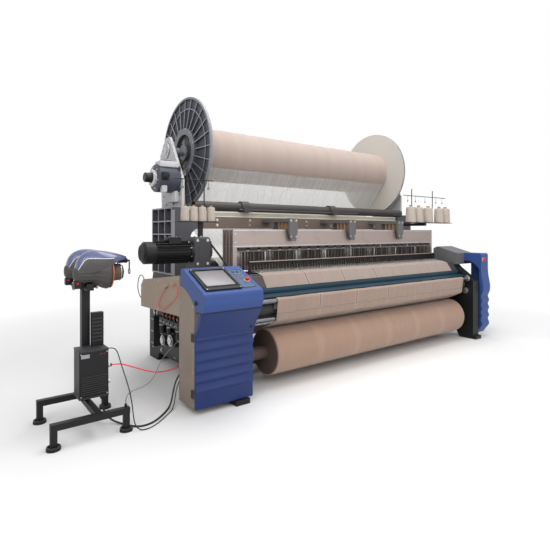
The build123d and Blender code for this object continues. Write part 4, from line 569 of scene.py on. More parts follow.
def alone(piece=None):
    """Leaves only this piece selected and active."""
    if bpy.context.object and bpy.context.object.mode != "OBJECT":
        bpy.ops.object.mode_set(mode="OBJECT")
    bpy.ops.object.select_all(action="DESELECT")
    if piece:
        piece.select_set(True)
        bpy.context.view_layer.objects.active = piece


def apply_place(piece):
    """Moves a piece's place, turn and scale into its mesh."""
    alone(piece)
    bpy.ops.object.transform_apply(location=True, rotation=True, scale=True)


def joined(pieces):
    """One piece made of several, each applied first."""
    for piece in pieces:
        apply_place(piece)
    alone(pieces[0])
    for piece in pieces:
        piece.select_set(True)
    bpy.ops.object.join()
    return bpy.context.object


def settle(made, name, look="steel", body="machine", smooth=32.0):
    """Names a piece or a list of them, fixes its place, gives it a finish and a body."""
    piece = joined(made) if isinstance(made, list) else made
    piece.name = piece.data.name = name
    apply_place(piece)
    if smooth:
        bpy.ops.object.shade_smooth_by_angle(angle=math.radians(smooth))
    piece.data.materials.clear()
    piece.data.materials.append(LOOKS[look])
    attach(piece, body)
    return piece


def open_mesh(piece):
    """Edit mode with all of a piece selected."""
    alone(piece)
    bpy.ops.object.mode_set(mode="EDIT")
    bpy.ops.mesh.select_all(action="SELECT")


def face_outwards(piece):
    """Turns the faces of a piece outwards."""
    open_mesh(piece)
    bpy.ops.mesh.normals_make_consistent(inside=False)
    bpy.ops.object.mode_set(mode="OBJECT")


@contextlib.contextmanager
def editing(piece):
    """Edit mode with all selected; the faces point outwards when it ends."""
    open_mesh(piece)
    yield
    face_outwards(piece)


def change(piece, kind, **settings):
    """Finishes a piece with a modifier and applies it."""
    alone(piece)
    modifier = piece.modifiers.new(kind.capitalize(), kind)
    for key, value in settings.items():
        setattr(modifier, key, value)
    bpy.ops.object.modifier_apply(modifier=modifier.name)
    return piece


def soften(piece, width, segments=2):
    """Rounds the sharp edges of a piece."""
    return change(
        piece, "BEVEL", width=width, segments=segments, limit_method="ANGLE", angle_limit=math.radians(30))


def rowed(piece, count, step):
    """A piece repeated across the loom at an even step."""
    apply_place(piece)
    return change(
        piece, "ARRAY", count=count, use_relative_offset=False, use_constant_offset=True,
        constant_offset_displace=(step, 0, 0))


def turned(piece, origin, direction, lift=0.0):
    """Stands a piece that was made upright on its origin, facing a direction."""
    turn = Vector(UP).rotation_difference(Vector(direction)).to_matrix().to_4x4()
    piece.matrix_world = Matrix.Translation(spot(*origin)) @ turn @ Matrix.Translation((0.0, 0.0, lift))
    return piece


def laid(piece, place, tilt=0.0):
    """Puts a piece that was made at the middle of the model in its place, tipped about X."""
    piece.matrix_world = Matrix.Translation(spot(*place)) @ Matrix.Rotation(tilt, 4, "X")
    return piece


def pad(size, rounding=0.002, segments=2, middle=(0.0, 0.0, 0.0)):
    """A rounded block about a place of the model."""
    alone()
    bpy.ops.mesh.primitive_cube_add(size=1.0, location=middle)
    piece = bpy.context.object
    piece.scale = size
    bpy.ops.object.transform_apply(location=False, rotation=False, scale=True)
    return soften(piece, rounding, segments) if rounding else piece


def block(low, high, rounding=0.002, segments=2):
    """A rounded block between two corners."""
    low, high = spot(*low), spot(*high)
    return pad(high - low, rounding, segments, (low + high) / 2)


def lathe(steps, origin, direction, sides=40):
    """A turned piece: a disc drawn out along its axis, resized at each step."""
    alone()
    start, radius = steps[0]
    bpy.ops.mesh.primitive_circle_add(vertices=sides, radius=radius, fill_type="NGON", location=(0, 0, start))
    piece = bpy.context.object
    bpy.ops.object.transform_apply(location=True)
    with editing(piece):
        for place, width in steps[1:]:
            bpy.ops.mesh.extrude_region_move(TRANSFORM_OT_translate={"value": (0, 0, place - start)})
            ratio = max(width, 0.0001) / max(radius, 0.0001)
            bpy.ops.transform.resize(value=(ratio, ratio, 1.0), center_override=(0.0, 0.0, place))
            start, radius = place, width
    return turned(piece, origin, direction)


def ring(inner, outer, thickness, origin, direction, sides=48, rounding=0.0015):
    """A flat ring with a wall, standing on its origin."""
    alone()
    bpy.ops.mesh.primitive_circle_add(vertices=sides, radius=inner, fill_type="NOTHING")
    piece = bpy.context.object
    with editing(piece):
        bpy.ops.mesh.extrude_edges_move()
        bpy.ops.transform.resize(value=(outer / inner, outer / inner, 1.0), center_override=(0.0, 0.0, 0.0))
    change(piece, "SOLIDIFY", thickness=thickness, offset=0.0)
    if rounding:
        soften(piece, rounding)
    return turned(piece, origin, direction, thickness / 2)


def rod(start, end, radius, sides=20):
    """A straight round bar between two places."""
    run = spot(*end) - spot(*start)
    return lathe([(0.0, radius), (run.length, radius)], start, run, sides)


def cap(origin, direction, sides, radius, wall, height, top):
    """A screw head, lamp or button: a short cylinder under a chamfer."""
    return lathe([(0.0, radius), (wall, radius), (height, top)], origin, direction, sides)


def bolt(origin, direction, size, height):
    """A hexagon head on a washer."""
    washer = 0.0018
    foot = lathe([(0.0, size * 1.5), (washer, size * 1.5)], origin, direction, 16)
    start = Vector(origin) + Vector(direction) * washer
    head = lathe([(0.0, size), (height * 0.85, size), (height, size * 0.86)], start, direction, 6)
    return joined([foot, head])


def bolts(x, places, direction, size, height):
    """Bolts at several y and z of one face across the loom."""
    return [bolt((x, y, z), direction, size, height) for y, z in places]


def circle(axis, radius, count, shift=0.0):
    """Places (y, z) spaced evenly round an axis."""
    angles = [math.tau * (index + shift) / count for index in range(count)]
    return [(axis[0] + math.cos(angle) * radius, axis[1] + math.sin(angle) * radius) for angle in angles]


def wire(points, radius, sides):
    """A bent wire through points, as a mesh."""
    alone()
    bpy.ops.curve.primitive_bezier_curve_add()
    made = bpy.context.object
    made.data.splines.clear()
    shape_line(made.data, points, radius, sides, steps=6)
    made.location = (0, 0, 0)
    alone(made)
    bpy.ops.object.convert(target="MESH")
    return bpy.context.object


def shape_line(curve, points, radius, sides, steps):
    """Gives a curve one smooth line through points, with a round section."""
    spline = curve.splines.new("NURBS")
    spline.points.add(len(points) - 1)
    for point, place in zip(spline.points, points):
        point.co = (*spot(*place), 1.0)
    spline.order_u = 3
    spline.use_endpoint_u = True
    spline.resolution_u = steps
    curve.dimensions = "3D"
    curve.bevel_depth = radius
    curve.bevel_resolution = sides
    curve.use_fill_caps = True


def strand(points, width, thickness):
    """A thin strand drawn through points in the loom's side view."""
    alone()
    points = [spot(*point) for point in points]
    bpy.ops.mesh.primitive_plane_add(size=1.0)
    piece = bpy.context.object
    piece.scale = (width, thickness, 1.0)
    piece.rotation_euler = (math.radians(90.0), 0.0, 0.0)
    piece.location = points[0]
    apply_place(piece)
    with editing(piece):
        for before, here in itertools.pairwise(points):
            bpy.ops.mesh.extrude_region_move(TRANSFORM_OT_translate={"value": here - before})
    return piece


def sheet_path(stations, pieces=14):
    """Points (y, z) of a sheet that runs straight between rollers and round them."""
    runs = []
    for (y1, z1, r1), (y2, z2, r2) in itertools.pairwise(stations):
        length = math.hypot(y2 - y1, z2 - z1)
        heading = math.atan2(z2 - z1, y2 - y1) - math.asin((r1 - r2) / length)
        normal = (-math.sin(heading), math.cos(heading))
        start = (y1 + normal[0] * r1, z1 + normal[1] * r1)
        end = (y2 + normal[0] * r2, z2 + normal[1] * r2)
        runs.append((start, end, math.atan2(normal[1], normal[0])))
    points = []
    for index, (start, end, angle) in enumerate(runs):
        if index:
            y, z, radius = stations[index]
            before = runs[index - 1][2]
            turn = angle - before
            turn = turn % math.tau if radius < 0 else -(-turn % math.tau)
            for step in range(1, pieces):
                here = before + turn * step / pieces
                points.append((y + math.cos(here) * radius, z + math.sin(here) * radius))
        steps = max(2, int(math.dist(start, end) / 0.03))
        for step in range(steps + 1):
            share = step / steps
            points.append((start[0] + (end[0] - start[0]) * share, start[1] + (end[1] - start[1]) * share))
    return points


def run_sheet(name, stations, left, width, thickness, look, columns, relief=None):
    """A sheet laid as a grid over its stations (y, z, radius), with a wall; also gives its length."""
    path = sheet_path(stations)
    alone()
    bpy.ops.mesh.primitive_grid_add(x_subdivisions=columns, y_subdivisions=len(path) - 1, size=1.0)
    piece = bpy.context.object
    runs = [0.0]
    for before, here in itertools.pairwise(path):
        runs.append(runs[-1] + math.dist(before, here))
    for vertex in piece.data.vertices:
        row, column = divmod(vertex.index, columns + 1)
        y, z = path[row]
        share = column / columns
        before, after = path[max(row - 1, 0)], path[min(row + 1, len(path) - 1)]
        lift = relief(share, runs[row] / runs[-1]) / math.dist(before, after) if relief else 0.0
        y += (after[1] - before[1]) * lift
        z -= (after[0] - before[0]) * lift
        vertex.co = spot(left + width * share, y, z)
    change(piece, "SOLIDIFY", thickness=thickness, offset=0.0)
    return settle(piece, name, look, smooth=50.0), runs[-1]


def stretched_sheet(name, node, stations, middle, width, thickness, look, columns, relief=None):
    """A sheet that takes a solid's place and lies stretched over its rollers."""
    left = middle - width / 2
    sheet, length = run_sheet(name, stations, left, width, thickness, look, columns, relief)
    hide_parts(node)


def on_slope(x, down, proud=0.0):
    """A place on the console's slope, measured down from its top edge."""
    y = SLOPE_TOP[0] - down * math.cos(SLOPE_TILT) - proud * math.sin(SLOPE_TILT)
    z = SLOPE_TOP[1] - down * math.sin(SLOPE_TILT) + proud * math.cos(SLOPE_TILT)
    return x, y, z


# What the user sets


def colour_setting(name, description, *levels):
    """A colour that the user sets, with its default as the eye reads it."""
    return FloatVectorProperty(
        name=name, description=description, subtype="COLOR", default=linear(*levels), min=0.0, max=1.0)


class LoomColours(bpy.types.PropertyGroup):
    enamel_black: colour_setting("Frame enamel", "Black of the cast side frames", 24, 25, 27)
    hood_blue: colour_setting("Hood blue", "Blue of the cabinet's hood and the right cover", 46, 74, 134)
    door_blue: colour_setting("Door blue", "Darker blue of the ridged cabinet door", 30, 49, 102)
    sheet_beige: colour_setting("Case beige", "Beige of the sheet steel case", 146, 132, 118)


class LoomSizes(bpy.types.PropertyGroup):
    camera_height: FloatProperty(
        name="Eye height", description="Height of the camera over the floor",
        default=1.45, unit="LENGTH", min=0.5, max=3.0,
    )
    key_light: FloatProperty(
        name="Key lamp", description="Power of the large soft lamp at the weaver's left",
        default=230.0, unit="POWER", min=0.0, max=4000.0,
    )


# Solids by finish. The door and the feeders are modelled finer further on.

SOLIDS = {
    "frame_black": "side_frame_left side_frame_right cross_beams feeder_stand",
    "breast_grey": "breast_beam",
    "strip_teal": "guard_strip",
    "takeup_rubber": "takeup_roller",
    "rod_steel": "cloth_rods",
    "core_dark": "cloth_core",
    "cloth_roll": "cloth_roll",
    "alloy": "sley",
    "reed_steel": "reed",
    "dull_alloy": "heald_frame_1 heald_frame_2 heald_frame_3 heald_frame_4 ground_beam",
    "timber": "heald_guides",
    "bracket_grey": "guide_brackets",
    "stand_slate": "beam_stands",
    "girder_brown": "top_girder",
    "plate_grey": "bearing_plates",
    "flange": "pile_flanges",
    "steel": "pile_barrel back_rest pile_guide",
    "pile_yarn": "pile_warp",
    "ground_yarn": "ground_warp",
    "tube_dark": "tension_tube",
    "letoff_slate": "letoff_motor",
    "motor_black": "shedding_motor",
    "gearbox_grey": "shedding_gearbox",
    "beige": "cabinet_case",
    "blue": "cabinet_hood cover_right",
    "door_blue": "cabinet_door",
    "black_plastic": "touch_screen cone_stands feeder_controller",
    "key_teal": "key_plate",
    "collar_pale": "estop_collars",
    "mushroom_red": "estop_left estop_right",
    "hump_grey": "cover_hump",
    "guard_beige": "guard_box",
    "unit_black": "air_unit",
    "cone_cream": "yarn_cones",
    "feeder_grey": "weft_feeders",
    "disc_grey": "winding_disc_front winding_disc_rear",
}


class LOOM_OT_finishes(bpy.types.Operator):
    """Mix every finish and put it on its solids"""

    bl_idname = "loom.finishes"
    bl_label = "Finishes of the solids"

    def execute(self, context):
        for kind, name, colour, *others in PALETTE:
            if isinstance(colour, str):
                colour = tuple(getattr(context.scene.loom_colours, colour))
            elif max(colour) > 1.0:
                colour = linear(*colour)
            LOOKS[name] = kind(name, colour, *others).data
        for look, nodes in SOLIDS.items():
            for node in nodes.split():
                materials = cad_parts[node].data.materials
                materials.clear()
                materials.append(LOOKS[look])
        return {"FINISHED"}


# Lamps: name, place, what it lights, width and share of the key lamp's power
LAMPS = (
    ("key", (-5.5, -5.0, 5.2), (-0.4, -0.4, 1.2), 4.5, 1.0),
    ("front", (1.5, -6.5, 3.4), (0.4, -0.2, 1.0), 4.0, 0.4),
    ("top", (0.3, -0.6, 6.0), (0.4, -0.1, 1.0), 4.5, 1.1),
    ("rear", (4.0, 5.5, 4.0), (0.4, 0.3, 1.2), 4.0, 0.6),
)
CAMERA_PLACE = (-3.382, -4.183)
CAMERA_HEADING = -37.3
WORLD_LIGHT = 0.48
FLOOR_CLEAR = 3.2
FLOOR_FADE = 2.2


class LOOM_OT_stage(bpy.types.Operator):
    """Lay the pale floor, hang the soft lamps and set the camera"""

    bl_idname = "loom.stage"
    bl_label = "Floor, lamps and camera"

    def execute(self, context):
        sizes = context.scene.loom_sizes
        alone()
        bpy.ops.mesh.primitive_plane_add(size=60.0, location=(0.0, 0.0, 0.0))
        floor = context.object
        floor.name = "studio_floor"
        pale = Finish("studio_floor").feed(Base_Color=linear(236, 236, 236), Roughness=0.85)
        x_place, y_place, _ = pale.axes()
        reach = pale.math("SQRT", x_place * x_place + y_place * y_place)
        far = ((reach - FLOOR_CLEAR) / FLOOR_FADE).clipped()
        glow = pale.node("ShaderNodeEmission", None, {"Color": (1.0, 1.0, 1.0), "Strength": 1.0})
        lit = Signal(pale, pale.shader.outputs[0])
        blended = pale.node("ShaderNodeMixShader", None, {0: far * pale.seen(), 1: lit, 2: glow})
        pale.plug(pale.tree.nodes["Material Output"].inputs["Surface"], blended)
        floor.data.materials.append(pale.data)

        sky = Finish("studio_light", "worlds")
        context.scene.world = sky.data
        backdrop = sky.tree.nodes["Background"].inputs
        backdrop["Color"].default_value = (1.0, 1.0, 1.0, 1.0)
        sky.plug(backdrop["Strength"], sky.seen() * (1.0 - WORLD_LIGHT) + WORLD_LIGHT)

        for name, place, aim, size, share in LAMPS:
            alone()
            bpy.ops.object.light_add(type="AREA", location=place)
            lamp = context.object
            lamp.name = "lamp_" + name
            lamp.data.size = size
            lamp.data.energy = sizes.key_light * share
            lamp.rotation_euler = (Vector(aim) - Vector(place)).to_track_quat("-Z", "Y").to_euler()

        bpy.ops.object.camera_add(
            location=(*CAMERA_PLACE, sizes.camera_height),
            rotation=(math.radians(90.0), 0.0, math.radians(CAMERA_HEADING)))
        camera = context.object
        camera.data.sensor_width = 36.0
        camera.data.lens = 28.93
        camera.data.shift_x = -0.0091
        camera.data.shift_y = -0.0782
        camera.data.clip_end = 200.0
        context.scene.camera = camera
        context.scene.view_settings.view_transform = "Standard"
        return {"FINISHED"}


# Cords: name, finish, diameter, stiffness, lay, length and route, with the
# route's x from the cabinet's outer face and the rest from the datum
CORDS = (
    ("red_air_tube", "tube_red", 0.010, "medium", "hanging", 0.743, (
        (-0.5445, -0.785, 0.437), (-0.4825, -0.785, 0.437), (-0.3825, -0.793, 0.392),
        (-0.2805, -0.785, 0.342), (-0.1805, -0.770, 0.303), (-0.0805, -0.752, 0.293),
        (0.0195, -0.735, 0.300), (0.0995, -0.722, 0.315), (0.1645, -0.722, 0.315),
    )),
    ("signal_cable", "sheath_grey", 0.006, "limp", "hanging", 0.865, (
        (0.1645, -0.732, 0.560), (0.1065, -0.732, 0.560), (0.0245, -0.752, 0.533),
        (-0.0555, -0.785, 0.492), (-0.1305, -0.818, 0.447), (-0.1885, -0.843, 0.390),
        (-0.2205, -0.857, 0.326), (-0.2705, -0.878, 0.280), (-0.3405, -0.910, 0.262),
        (-0.4085, -0.940, 0.262), (-0.4585, -0.965, 0.262), (-0.4945, -0.984, 0.245),
        (-0.5025, -0.988, 0.211), (-0.5025, -0.988, 0.192),
    )),
    ("stand_cable", "sheath_black", 0.008, "medium", "loose", 1.561, (
        (-0.5445, -0.680, 0.540), (-0.5045, -0.680, 0.540), (-0.4805, -0.714, 0.520),
        (-0.4805, -0.764, 0.478), (-0.4805, -0.845, 0.412), (-0.4765, -0.930, 0.338),
        (-0.4705, -0.992, 0.262), (-0.4635, -1.016, 0.178), (-0.4605, -1.032, 0.098),
        (-0.4545, -1.048, 0.045), (-0.4325, -1.070, 0.012), (-0.3925, -1.082, 0.004),
        (-0.3205, -1.062, 0.004), (-0.2405, -1.005, 0.004), (-0.1585, -0.930, 0.004),
        (-0.0925, -0.868, 0.004), (-0.0625, -0.838, 0.026), (-0.0445, -0.820, 0.066),
        (-0.0285, -0.804, 0.124), (0.0055, -0.776, 0.180), (0.0535, -0.750, 0.228),
        (0.1075, -0.738, 0.258), (0.1645, -0.738, 0.258),
    )),
    ("floor_cable", "sheath_black", 0.014, "medium", "loose", 1.224, (
        (-0.6055, -0.760, 0.188), (-0.6055, -0.760, 0.125), (-0.5855, -0.786, 0.062),
        (-0.5385, -0.832, 0.018), (-0.4865, -0.905, 0.008), (-0.4425, -0.985, 0.008),
        (-0.3855, -1.020, 0.008), (-0.3105, -1.008, 0.008), (-0.2255, -0.950, 0.008),
        (-0.1405, -0.866, 0.008), (-0.0855, -0.812, 0.020), (-0.0525, -0.780, 0.062),
        (-0.0305, -0.758, 0.125), (0.0015, -0.735, 0.188), (0.0495, -0.710, 0.235),
        (0.1075, -0.692, 0.258), (0.1645, -0.692, 0.258),
    )),
    ("motor_hose", "sheath_black", 0.008, "medium", "hanging", 0.576, (
        (0.0295, 0.0813, 0.9763), (0.0295, 0.1113, 1.0063), (0.0235, 0.150, 1.020),
        (0.0155, 0.182, 1.000), (0.0105, 0.200, 0.955), (0.0075, 0.206, 0.885),
        (0.0195, 0.196, 0.810), (0.0535, 0.176, 0.748), (0.1035, 0.146, 0.710),
        (0.1395, 0.118, 0.682), (0.1535, 0.101, 0.650), (0.1535, 0.101, 0.620),
    )),
    ("air_loop", "tube_red", 0.006, "medium", "hanging", 0.824, (
        (-0.013, -0.562, 0.967), (-0.013, -0.510, 0.918), (-0.013, -0.450, 0.870),
        (-0.013, -0.405, 0.825), (-0.013, -0.390, 0.785), (-0.013, -0.415, 0.755),
        (-0.013, -0.470, 0.752), (-0.013, -0.560, 0.785), (-0.013, -0.650, 0.835),
        (-0.013, -0.740, 0.880), (-0.013, -0.790, 0.918), (-0.013, -0.800, 0.955),
        (-0.013, -0.775, 0.985), (-0.013, -0.728, 0.995),
    )),
)


class LOOM_OT_cords(bpy.types.Operator):
    """Lay the air tubes and cables, each on one smooth line"""

    bl_idname = "loom.cords"
    bl_label = "Tubes and cables"

    def execute(self, context):
        for name, look, diameter, stiffness, lay, length, route in CORDS:
            points = [(x - CABINET_OUTER, y, z) for x, y, z in route]
            curve = bpy.data.curves.new(name + "_line", "CURVE")
            shape_line(curve, points, diameter / 2, sides=4, steps=12)
            cord = bpy.data.objects.new(name + "_line", curve)
            context.collection.objects.link(cord)
            curve.materials.append(LOOKS[look])
            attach(cord, "machine")
            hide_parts(name)
            spot(*points[0])
        return {"FINISHED"}


# Cloth and warp. Each sheet is given by where it starts, the rollers that it rounds
# and where it ends, as y, z and radius, below 0 for the far side of a roller.

PILE_WIDTH = 3.165
CLOTH_WALL = 0.003
CLOTH_COLUMNS = 260
WARP_WALL = 0.0015
WARP_COLUMNS = 60
ROD_WRAP = -0.0233
HEALD_BACK = (-0.232, 1.092)
UPPER_CLOTH = ((-0.692, 1.048, 0.0), (-0.760, 1.015, -0.0158), (-0.8458, 0.9190, 0.0))
STRIP_LIP = ((-0.8405, 0.9265, 0.0), (-0.852, 0.893, -0.0096), (-0.8625, 0.8735, 0.0))
LOWER_CLOTH = (
    (*TAKEUP_AXIS, 0.0768), (*ROD_AXES[0], ROD_WRAP), (*ROD_AXES[1], ROD_WRAP), (*CLOTH_AXIS, 0.2188))
GROUND_WARP = ((*GROUND_AXIS, -0.33105), (*REST_AXIS, -0.06105), (*HEALD_BACK, 0.0))
PILE_WARP = ((*PILE_AXIS, -0.31105), (*GUIDE_AXIS, 0.04905), (HEALD_BACK[0], HEALD_BACK[1] + 0.003, 0.0))


def upper_relief(share, run):
    """Soft waves across the cloth over the breast beam."""
    edge = min(share, 1.0 - share, 0.03) / 0.03
    wave = 1.6 + math.sin(share * 63.0) + 0.6 * math.sin(share * 151.0 + run * 3.0)
    return edge * 0.0011 * wave + 0.0006


def lower_relief(share, run):
    """Wrinkles of the cloth between the rods and the roll."""
    free = math.sin(math.pi * min(max(run, 0.0), 1.0))
    wave = 1.0 + math.sin(share * 44.0 + math.sin(share * 17.0) * 2.0 + run * 2.4)
    small = 1.0 + math.sin(share * 190.0 + run * 5.0)
    return free * (0.0026 * wave + 0.0009 * small) + 0.0006


class LOOM_OT_cloth(bpy.types.Operator):
    """Weave the cloth over the breast beam and round the take-up rods"""

    bl_idname = "loom.cloth"
    bl_label = "Terry cloth"

    def execute(self, context):
        stretched_sheet("terry_upper", "cloth_upper", UPPER_CLOTH,
                        CLOTH_X, CLOTH_WIDTH, CLOTH_WALL, "cloth_upper", CLOTH_COLUMNS, upper_relief)
        run_sheet("strip_lip", STRIP_LIP, -1.6815, 3.4630, 0.0022, "strip_teal", 4)
        stretched_sheet("terry_lower", "cloth_lower", LOWER_CLOTH,
                        CLOTH_X, CLOTH_WIDTH, CLOTH_WALL, "cloth_lower", CLOTH_COLUMNS, lower_relief)
        return {"FINISHED"}


class LOOM_OT_warp(bpy.types.Operator):
    """Draw the ground and pile warp over their rollers and through the healds"""

    bl_idname = "loom.warp"
    bl_label = "Warp threads"

    def execute(self, context):
        stretched_sheet("ground_threads", "ground_sheet", GROUND_WARP,
                        CLOTH_X, CLOTH_WIDTH, WARP_WALL, "ground_threads", WARP_COLUMNS)
        stretched_sheet("pile_threads", "pile_sheet", PILE_WARP,
                        BEAM_X, PILE_WIDTH, WARP_WALL, "pile_threads", WARP_COLUMNS)
        return {"FINISHED"}


# Healds, reed and warp between the frames

DENT_COUNT = 84
DENT_PITCH = CLOTH_WIDTH / DENT_COUNT
STRAND_FIRST = CLOTH_X - DENT_PITCH * (DENT_COUNT - 1) / 2
HEALD_HALF = 1.692
HEALD_LOW = 0.804
HEALD_HIGH = 1.256
RAIL_LOW = 1.292
RAIL_TOP = 1.479
HOOK_FIRST = CLOTH_X - HEALD_HALF + 0.064
HOOK_PITCH = 0.1382
HOOK_COUNT = 24
POST_PITCH = 0.4315
POST_COUNT = 7
WIRE_PITCH = 0.006
WIRES_PER_DENT = 5
CAP_HALF = 1.578

# Layers of the shed: shift across the loom and lift at the healds
SHED_LAYERS = ((-0.004, 0.034), (0.0, 0.0), (0.004, -0.034))


class LOOM_OT_healds(bpy.types.Operator):
    """Hang the healds, hooks and rail trims on the four heald frames"""

    bl_idname = "loom.healds"
    bl_label = "Healds and hooks"

    def execute(self, context):
        for index in range(4):
            y = HEALD_FRONT + index * HEALD_PITCH
            body = f"heald_{index + 1}"
            first = STRAND_FIRST - 2 * DENT_PITCH + 0.0064 + index * 0.0001
            wires = block((first - 0.0015, y - 0.0004, HEALD_LOW - 0.004),
                          (first + 0.0015, y + 0.0004, HEALD_HIGH + 0.004), 0.0)
            wires = rowed(rowed(wires, WIRES_PER_DENT, WIRE_PITCH), DENT_COUNT + 4, DENT_PITCH)
            # The wires take the dark painted-shade finish.
            settle(wires, f"healds_{index + 1}", "heald_wire", body, 0)
            stem = block((HOOK_FIRST, y - 0.006, RAIL_LOW - 0.034),
                         (HOOK_FIRST + 0.104, y + 0.006, RAIL_LOW - 0.0004), 0.004)
            settle(rowed(stem, HOOK_COUNT, HOOK_PITCH), f"heald_hooks_{index + 1}", "hook_black", body)
            toe = block((HOOK_FIRST - 0.010, y - 0.0125, RAIL_LOW - 0.047),
                        (HOOK_FIRST + 0.114, y + 0.008, RAIL_LOW - 0.0335), 0.003)
            settle(rowed(toe, HOOK_COUNT, HOOK_PITCH), f"heald_toes_{index + 1}", "toe_grey", body)
            post = block((CLOTH_X - 1.30, y - 0.0115, HEALD_LOW - 0.002),
                         (CLOTH_X - 1.288, y - 0.0035, RAIL_LOW - 0.046), 0.0015, 1)
            settle(rowed(post, POST_COUNT, POST_PITCH), f"heald_posts_{index + 1}", "alloy", body)
            settle([block((CLOTH_X - HEALD_HALF + 0.004, y - 0.0152, z - 0.004),
                          (CLOTH_X + HEALD_HALF - 0.004, y - 0.0128, z + 0.004), 0.0008, 1)
                    for z in (RAIL_LOW + 0.012, RAIL_TOP - 0.014)], f"rail_lips_{index + 1}", "alloy", body)
            settle([bolt((CLOTH_X + side * (HEALD_HALF - 0.026), y - 0.013, z), FRONT, 0.008, 0.006)
                    for side, _ in SIDES for z in (RAIL_LOW + 0.05, RAIL_TOP - 0.05)],
                   f"rail_bolts_{index + 1}", body=body)
        return {"FINISHED"}


class LOOM_OT_strands(bpy.types.Operator):
    """Draw the warp strands through the healds and the reed to the cloth's edge"""

    bl_idname = "loom.strands"
    bl_label = "Warp strands in the shed"

    def execute(self, context):
        made = []
        for shift, lift in SHED_LAYERS:
            x = STRAND_FIRST + shift
            points = [(x, HEALD_BACK[0], HEALD_BACK[1] - 0.001),
                      (x, HEALD_FRONT + 1.5 * HEALD_PITCH, 1.092 + lift),
                      (x, -0.560, 1.062 + lift * 0.42), (x, -0.690, 1.0492)]
            made.append(rowed(strand(points, 0.0016, 0.0012), DENT_COUNT, DENT_PITCH))
        settle(made, "shed_strands", "strand_white", smooth=0)
        edge = block((CLOTH_X - CAP_HALF, -0.5740, 1.1475), (CLOTH_X + CAP_HALF, -0.5722, 1.1568), 0.0006, 1)
        settle(edge, "reed_cap_edge", "dull_alloy", "sley_swing")
        return {"FINISHED"}


# Pile beam and let-off motor


class LOOM_OT_beam(bpy.types.Operator):
    """Bolt the pile beam's flanges, bearings and end plates"""

    bl_idname = "loom.beam"
    bl_label = "Beam fittings"

    def execute(self, context):
        for side, label in SIDES:
            out = (side, 0, 0)
            hub = bolts(BEAM_X + side * 1.6525, circle(PILE_AXIS, 0.268, 12, 0.5), out, 0.009, 0.007)
            settle(hub, f"hub_bolts_{label}", body="pile_roll")
            plate = BEAM_X + side * 1.851
            settle(ring(0.0475, 0.092, 0.016, (plate, *PILE_AXIS), out), f"bearing_ring_{label}")
            heads = bolts(plate + side * 0.016, circle(PILE_AXIS, 0.078, 6), out, 0.006, 0.006)
            corners = ((0.150, 1.760), (0.150, 1.860), (0.330, 1.760), (0.520, 1.760), (0.590, 1.860))
            settle(heads + bolts(plate, corners, out, 0.014, 0.011), f"plate_bolts_{label}")
        return {"FINISHED"}


class LOOM_OT_letoff(bpy.types.Operator):
    """Fit the let-off motor's notched ring, bracket lobes and connectors"""

    bl_idname = "loom.letoff"
    bl_label = "Let-off motor"

    def execute(self, context):
        y, z = LETOFF_AXIS
        notches = 12
        teeth = [ring(0.056, 0.0845, 0.007, (LETOFF_END - 0.024, y, z), LEFT)]
        for index, place in enumerate(circle(LETOFF_AXIS, 0.086, notches, 0.5)):
            tooth = pad((0.007, 0.016, 0.022), 0.0015, 1)
            teeth.append(laid(tooth, (LETOFF_END - 0.0275, *place), math.tau * (index + 0.5) / notches))
        settle(teeth, "letoff_collar", "white_plastic")
        end, face = LETOFF_END, LETOFF_FACE
        # The bracket takes the painted lit grey of the plates.
        settle([
            block((end + 0.02, y - 0.115, z + 0.112), (face, y + 0.03, z + 0.176), 0.010, 3),
            block((end + 0.03, y - 0.150, z - 0.160), (end + 0.085, y - 0.085, z - 0.085), 0.012, 3),
            block((face - 0.05, y - 0.10, z - 0.250), (face, y + 0.10, z - 0.130), 0.010, 3),
        ], "letoff_bracket", "plate_grey")
        settle([
            lathe([(0.0, 0.024), (0.03, 0.024), (0.034, 0.030), (0.062, 0.030), (0.066, 0.022)],
                  (end + 0.055, y - 0.146, z + 0.012), FRONT, 24),
            block((end + 0.022, y - 0.176, z - 0.03), (end + 0.09, y - 0.140, z + 0.052), 0.006),
        ], "letoff_plug", "black_plastic")
        heads = bolts(end, circle(LETOFF_AXIS, 0.112, 6, 0.25), LEFT, 0.008, 0.006)
        heads.append(bolt((end + 0.03, y - 0.117, z - 0.122), LEFT, 0.010, 0.007))
        settle(heads, "letoff_bolts")
        return {"FINISHED"}


# Girder, guides and frame fastenings


class LOOM_OT_girder(bpy.types.Operator):
    """Fit the band over the girder, its bolt pairs and the bolts of the heald guides"""

    bl_idname = "loom.girder"
    bl_label = "Girder fittings"

    def execute(self, context):
        left, right = -1.63, 1.58
        settle(block((left, 0.030, 1.6164), (right, 0.062, 1.672), 0.003), "girder_band", "band_cream")
        settle([block((left, 0.026, low), (right, 0.0304, top), 0.001, 1)
                for low, top in ((1.6166, 1.626), (1.662, 1.672))], "girder_lips", "white_plastic")
        pair = joined([bolt((-1.50, 0.020, z), FRONT, 0.011, 0.009) for z in (1.525, 1.580)])
        settle(rowed(pair, 8, 0.43), "girder_bolts")
        heads = []
        for x in (-0.841, 0.086, 1.016):
            for step in (-0.036, 0.036):
                heads.append(bolt((x + step, -0.500, 1.575), FRONT, 0.009, 0.007))
                heads.append(bolt((x + step, -0.500, 1.400), FRONT, 0.007, 0.006))
        settle(heads, "guide_bolts")
        return {"FINISHED"}


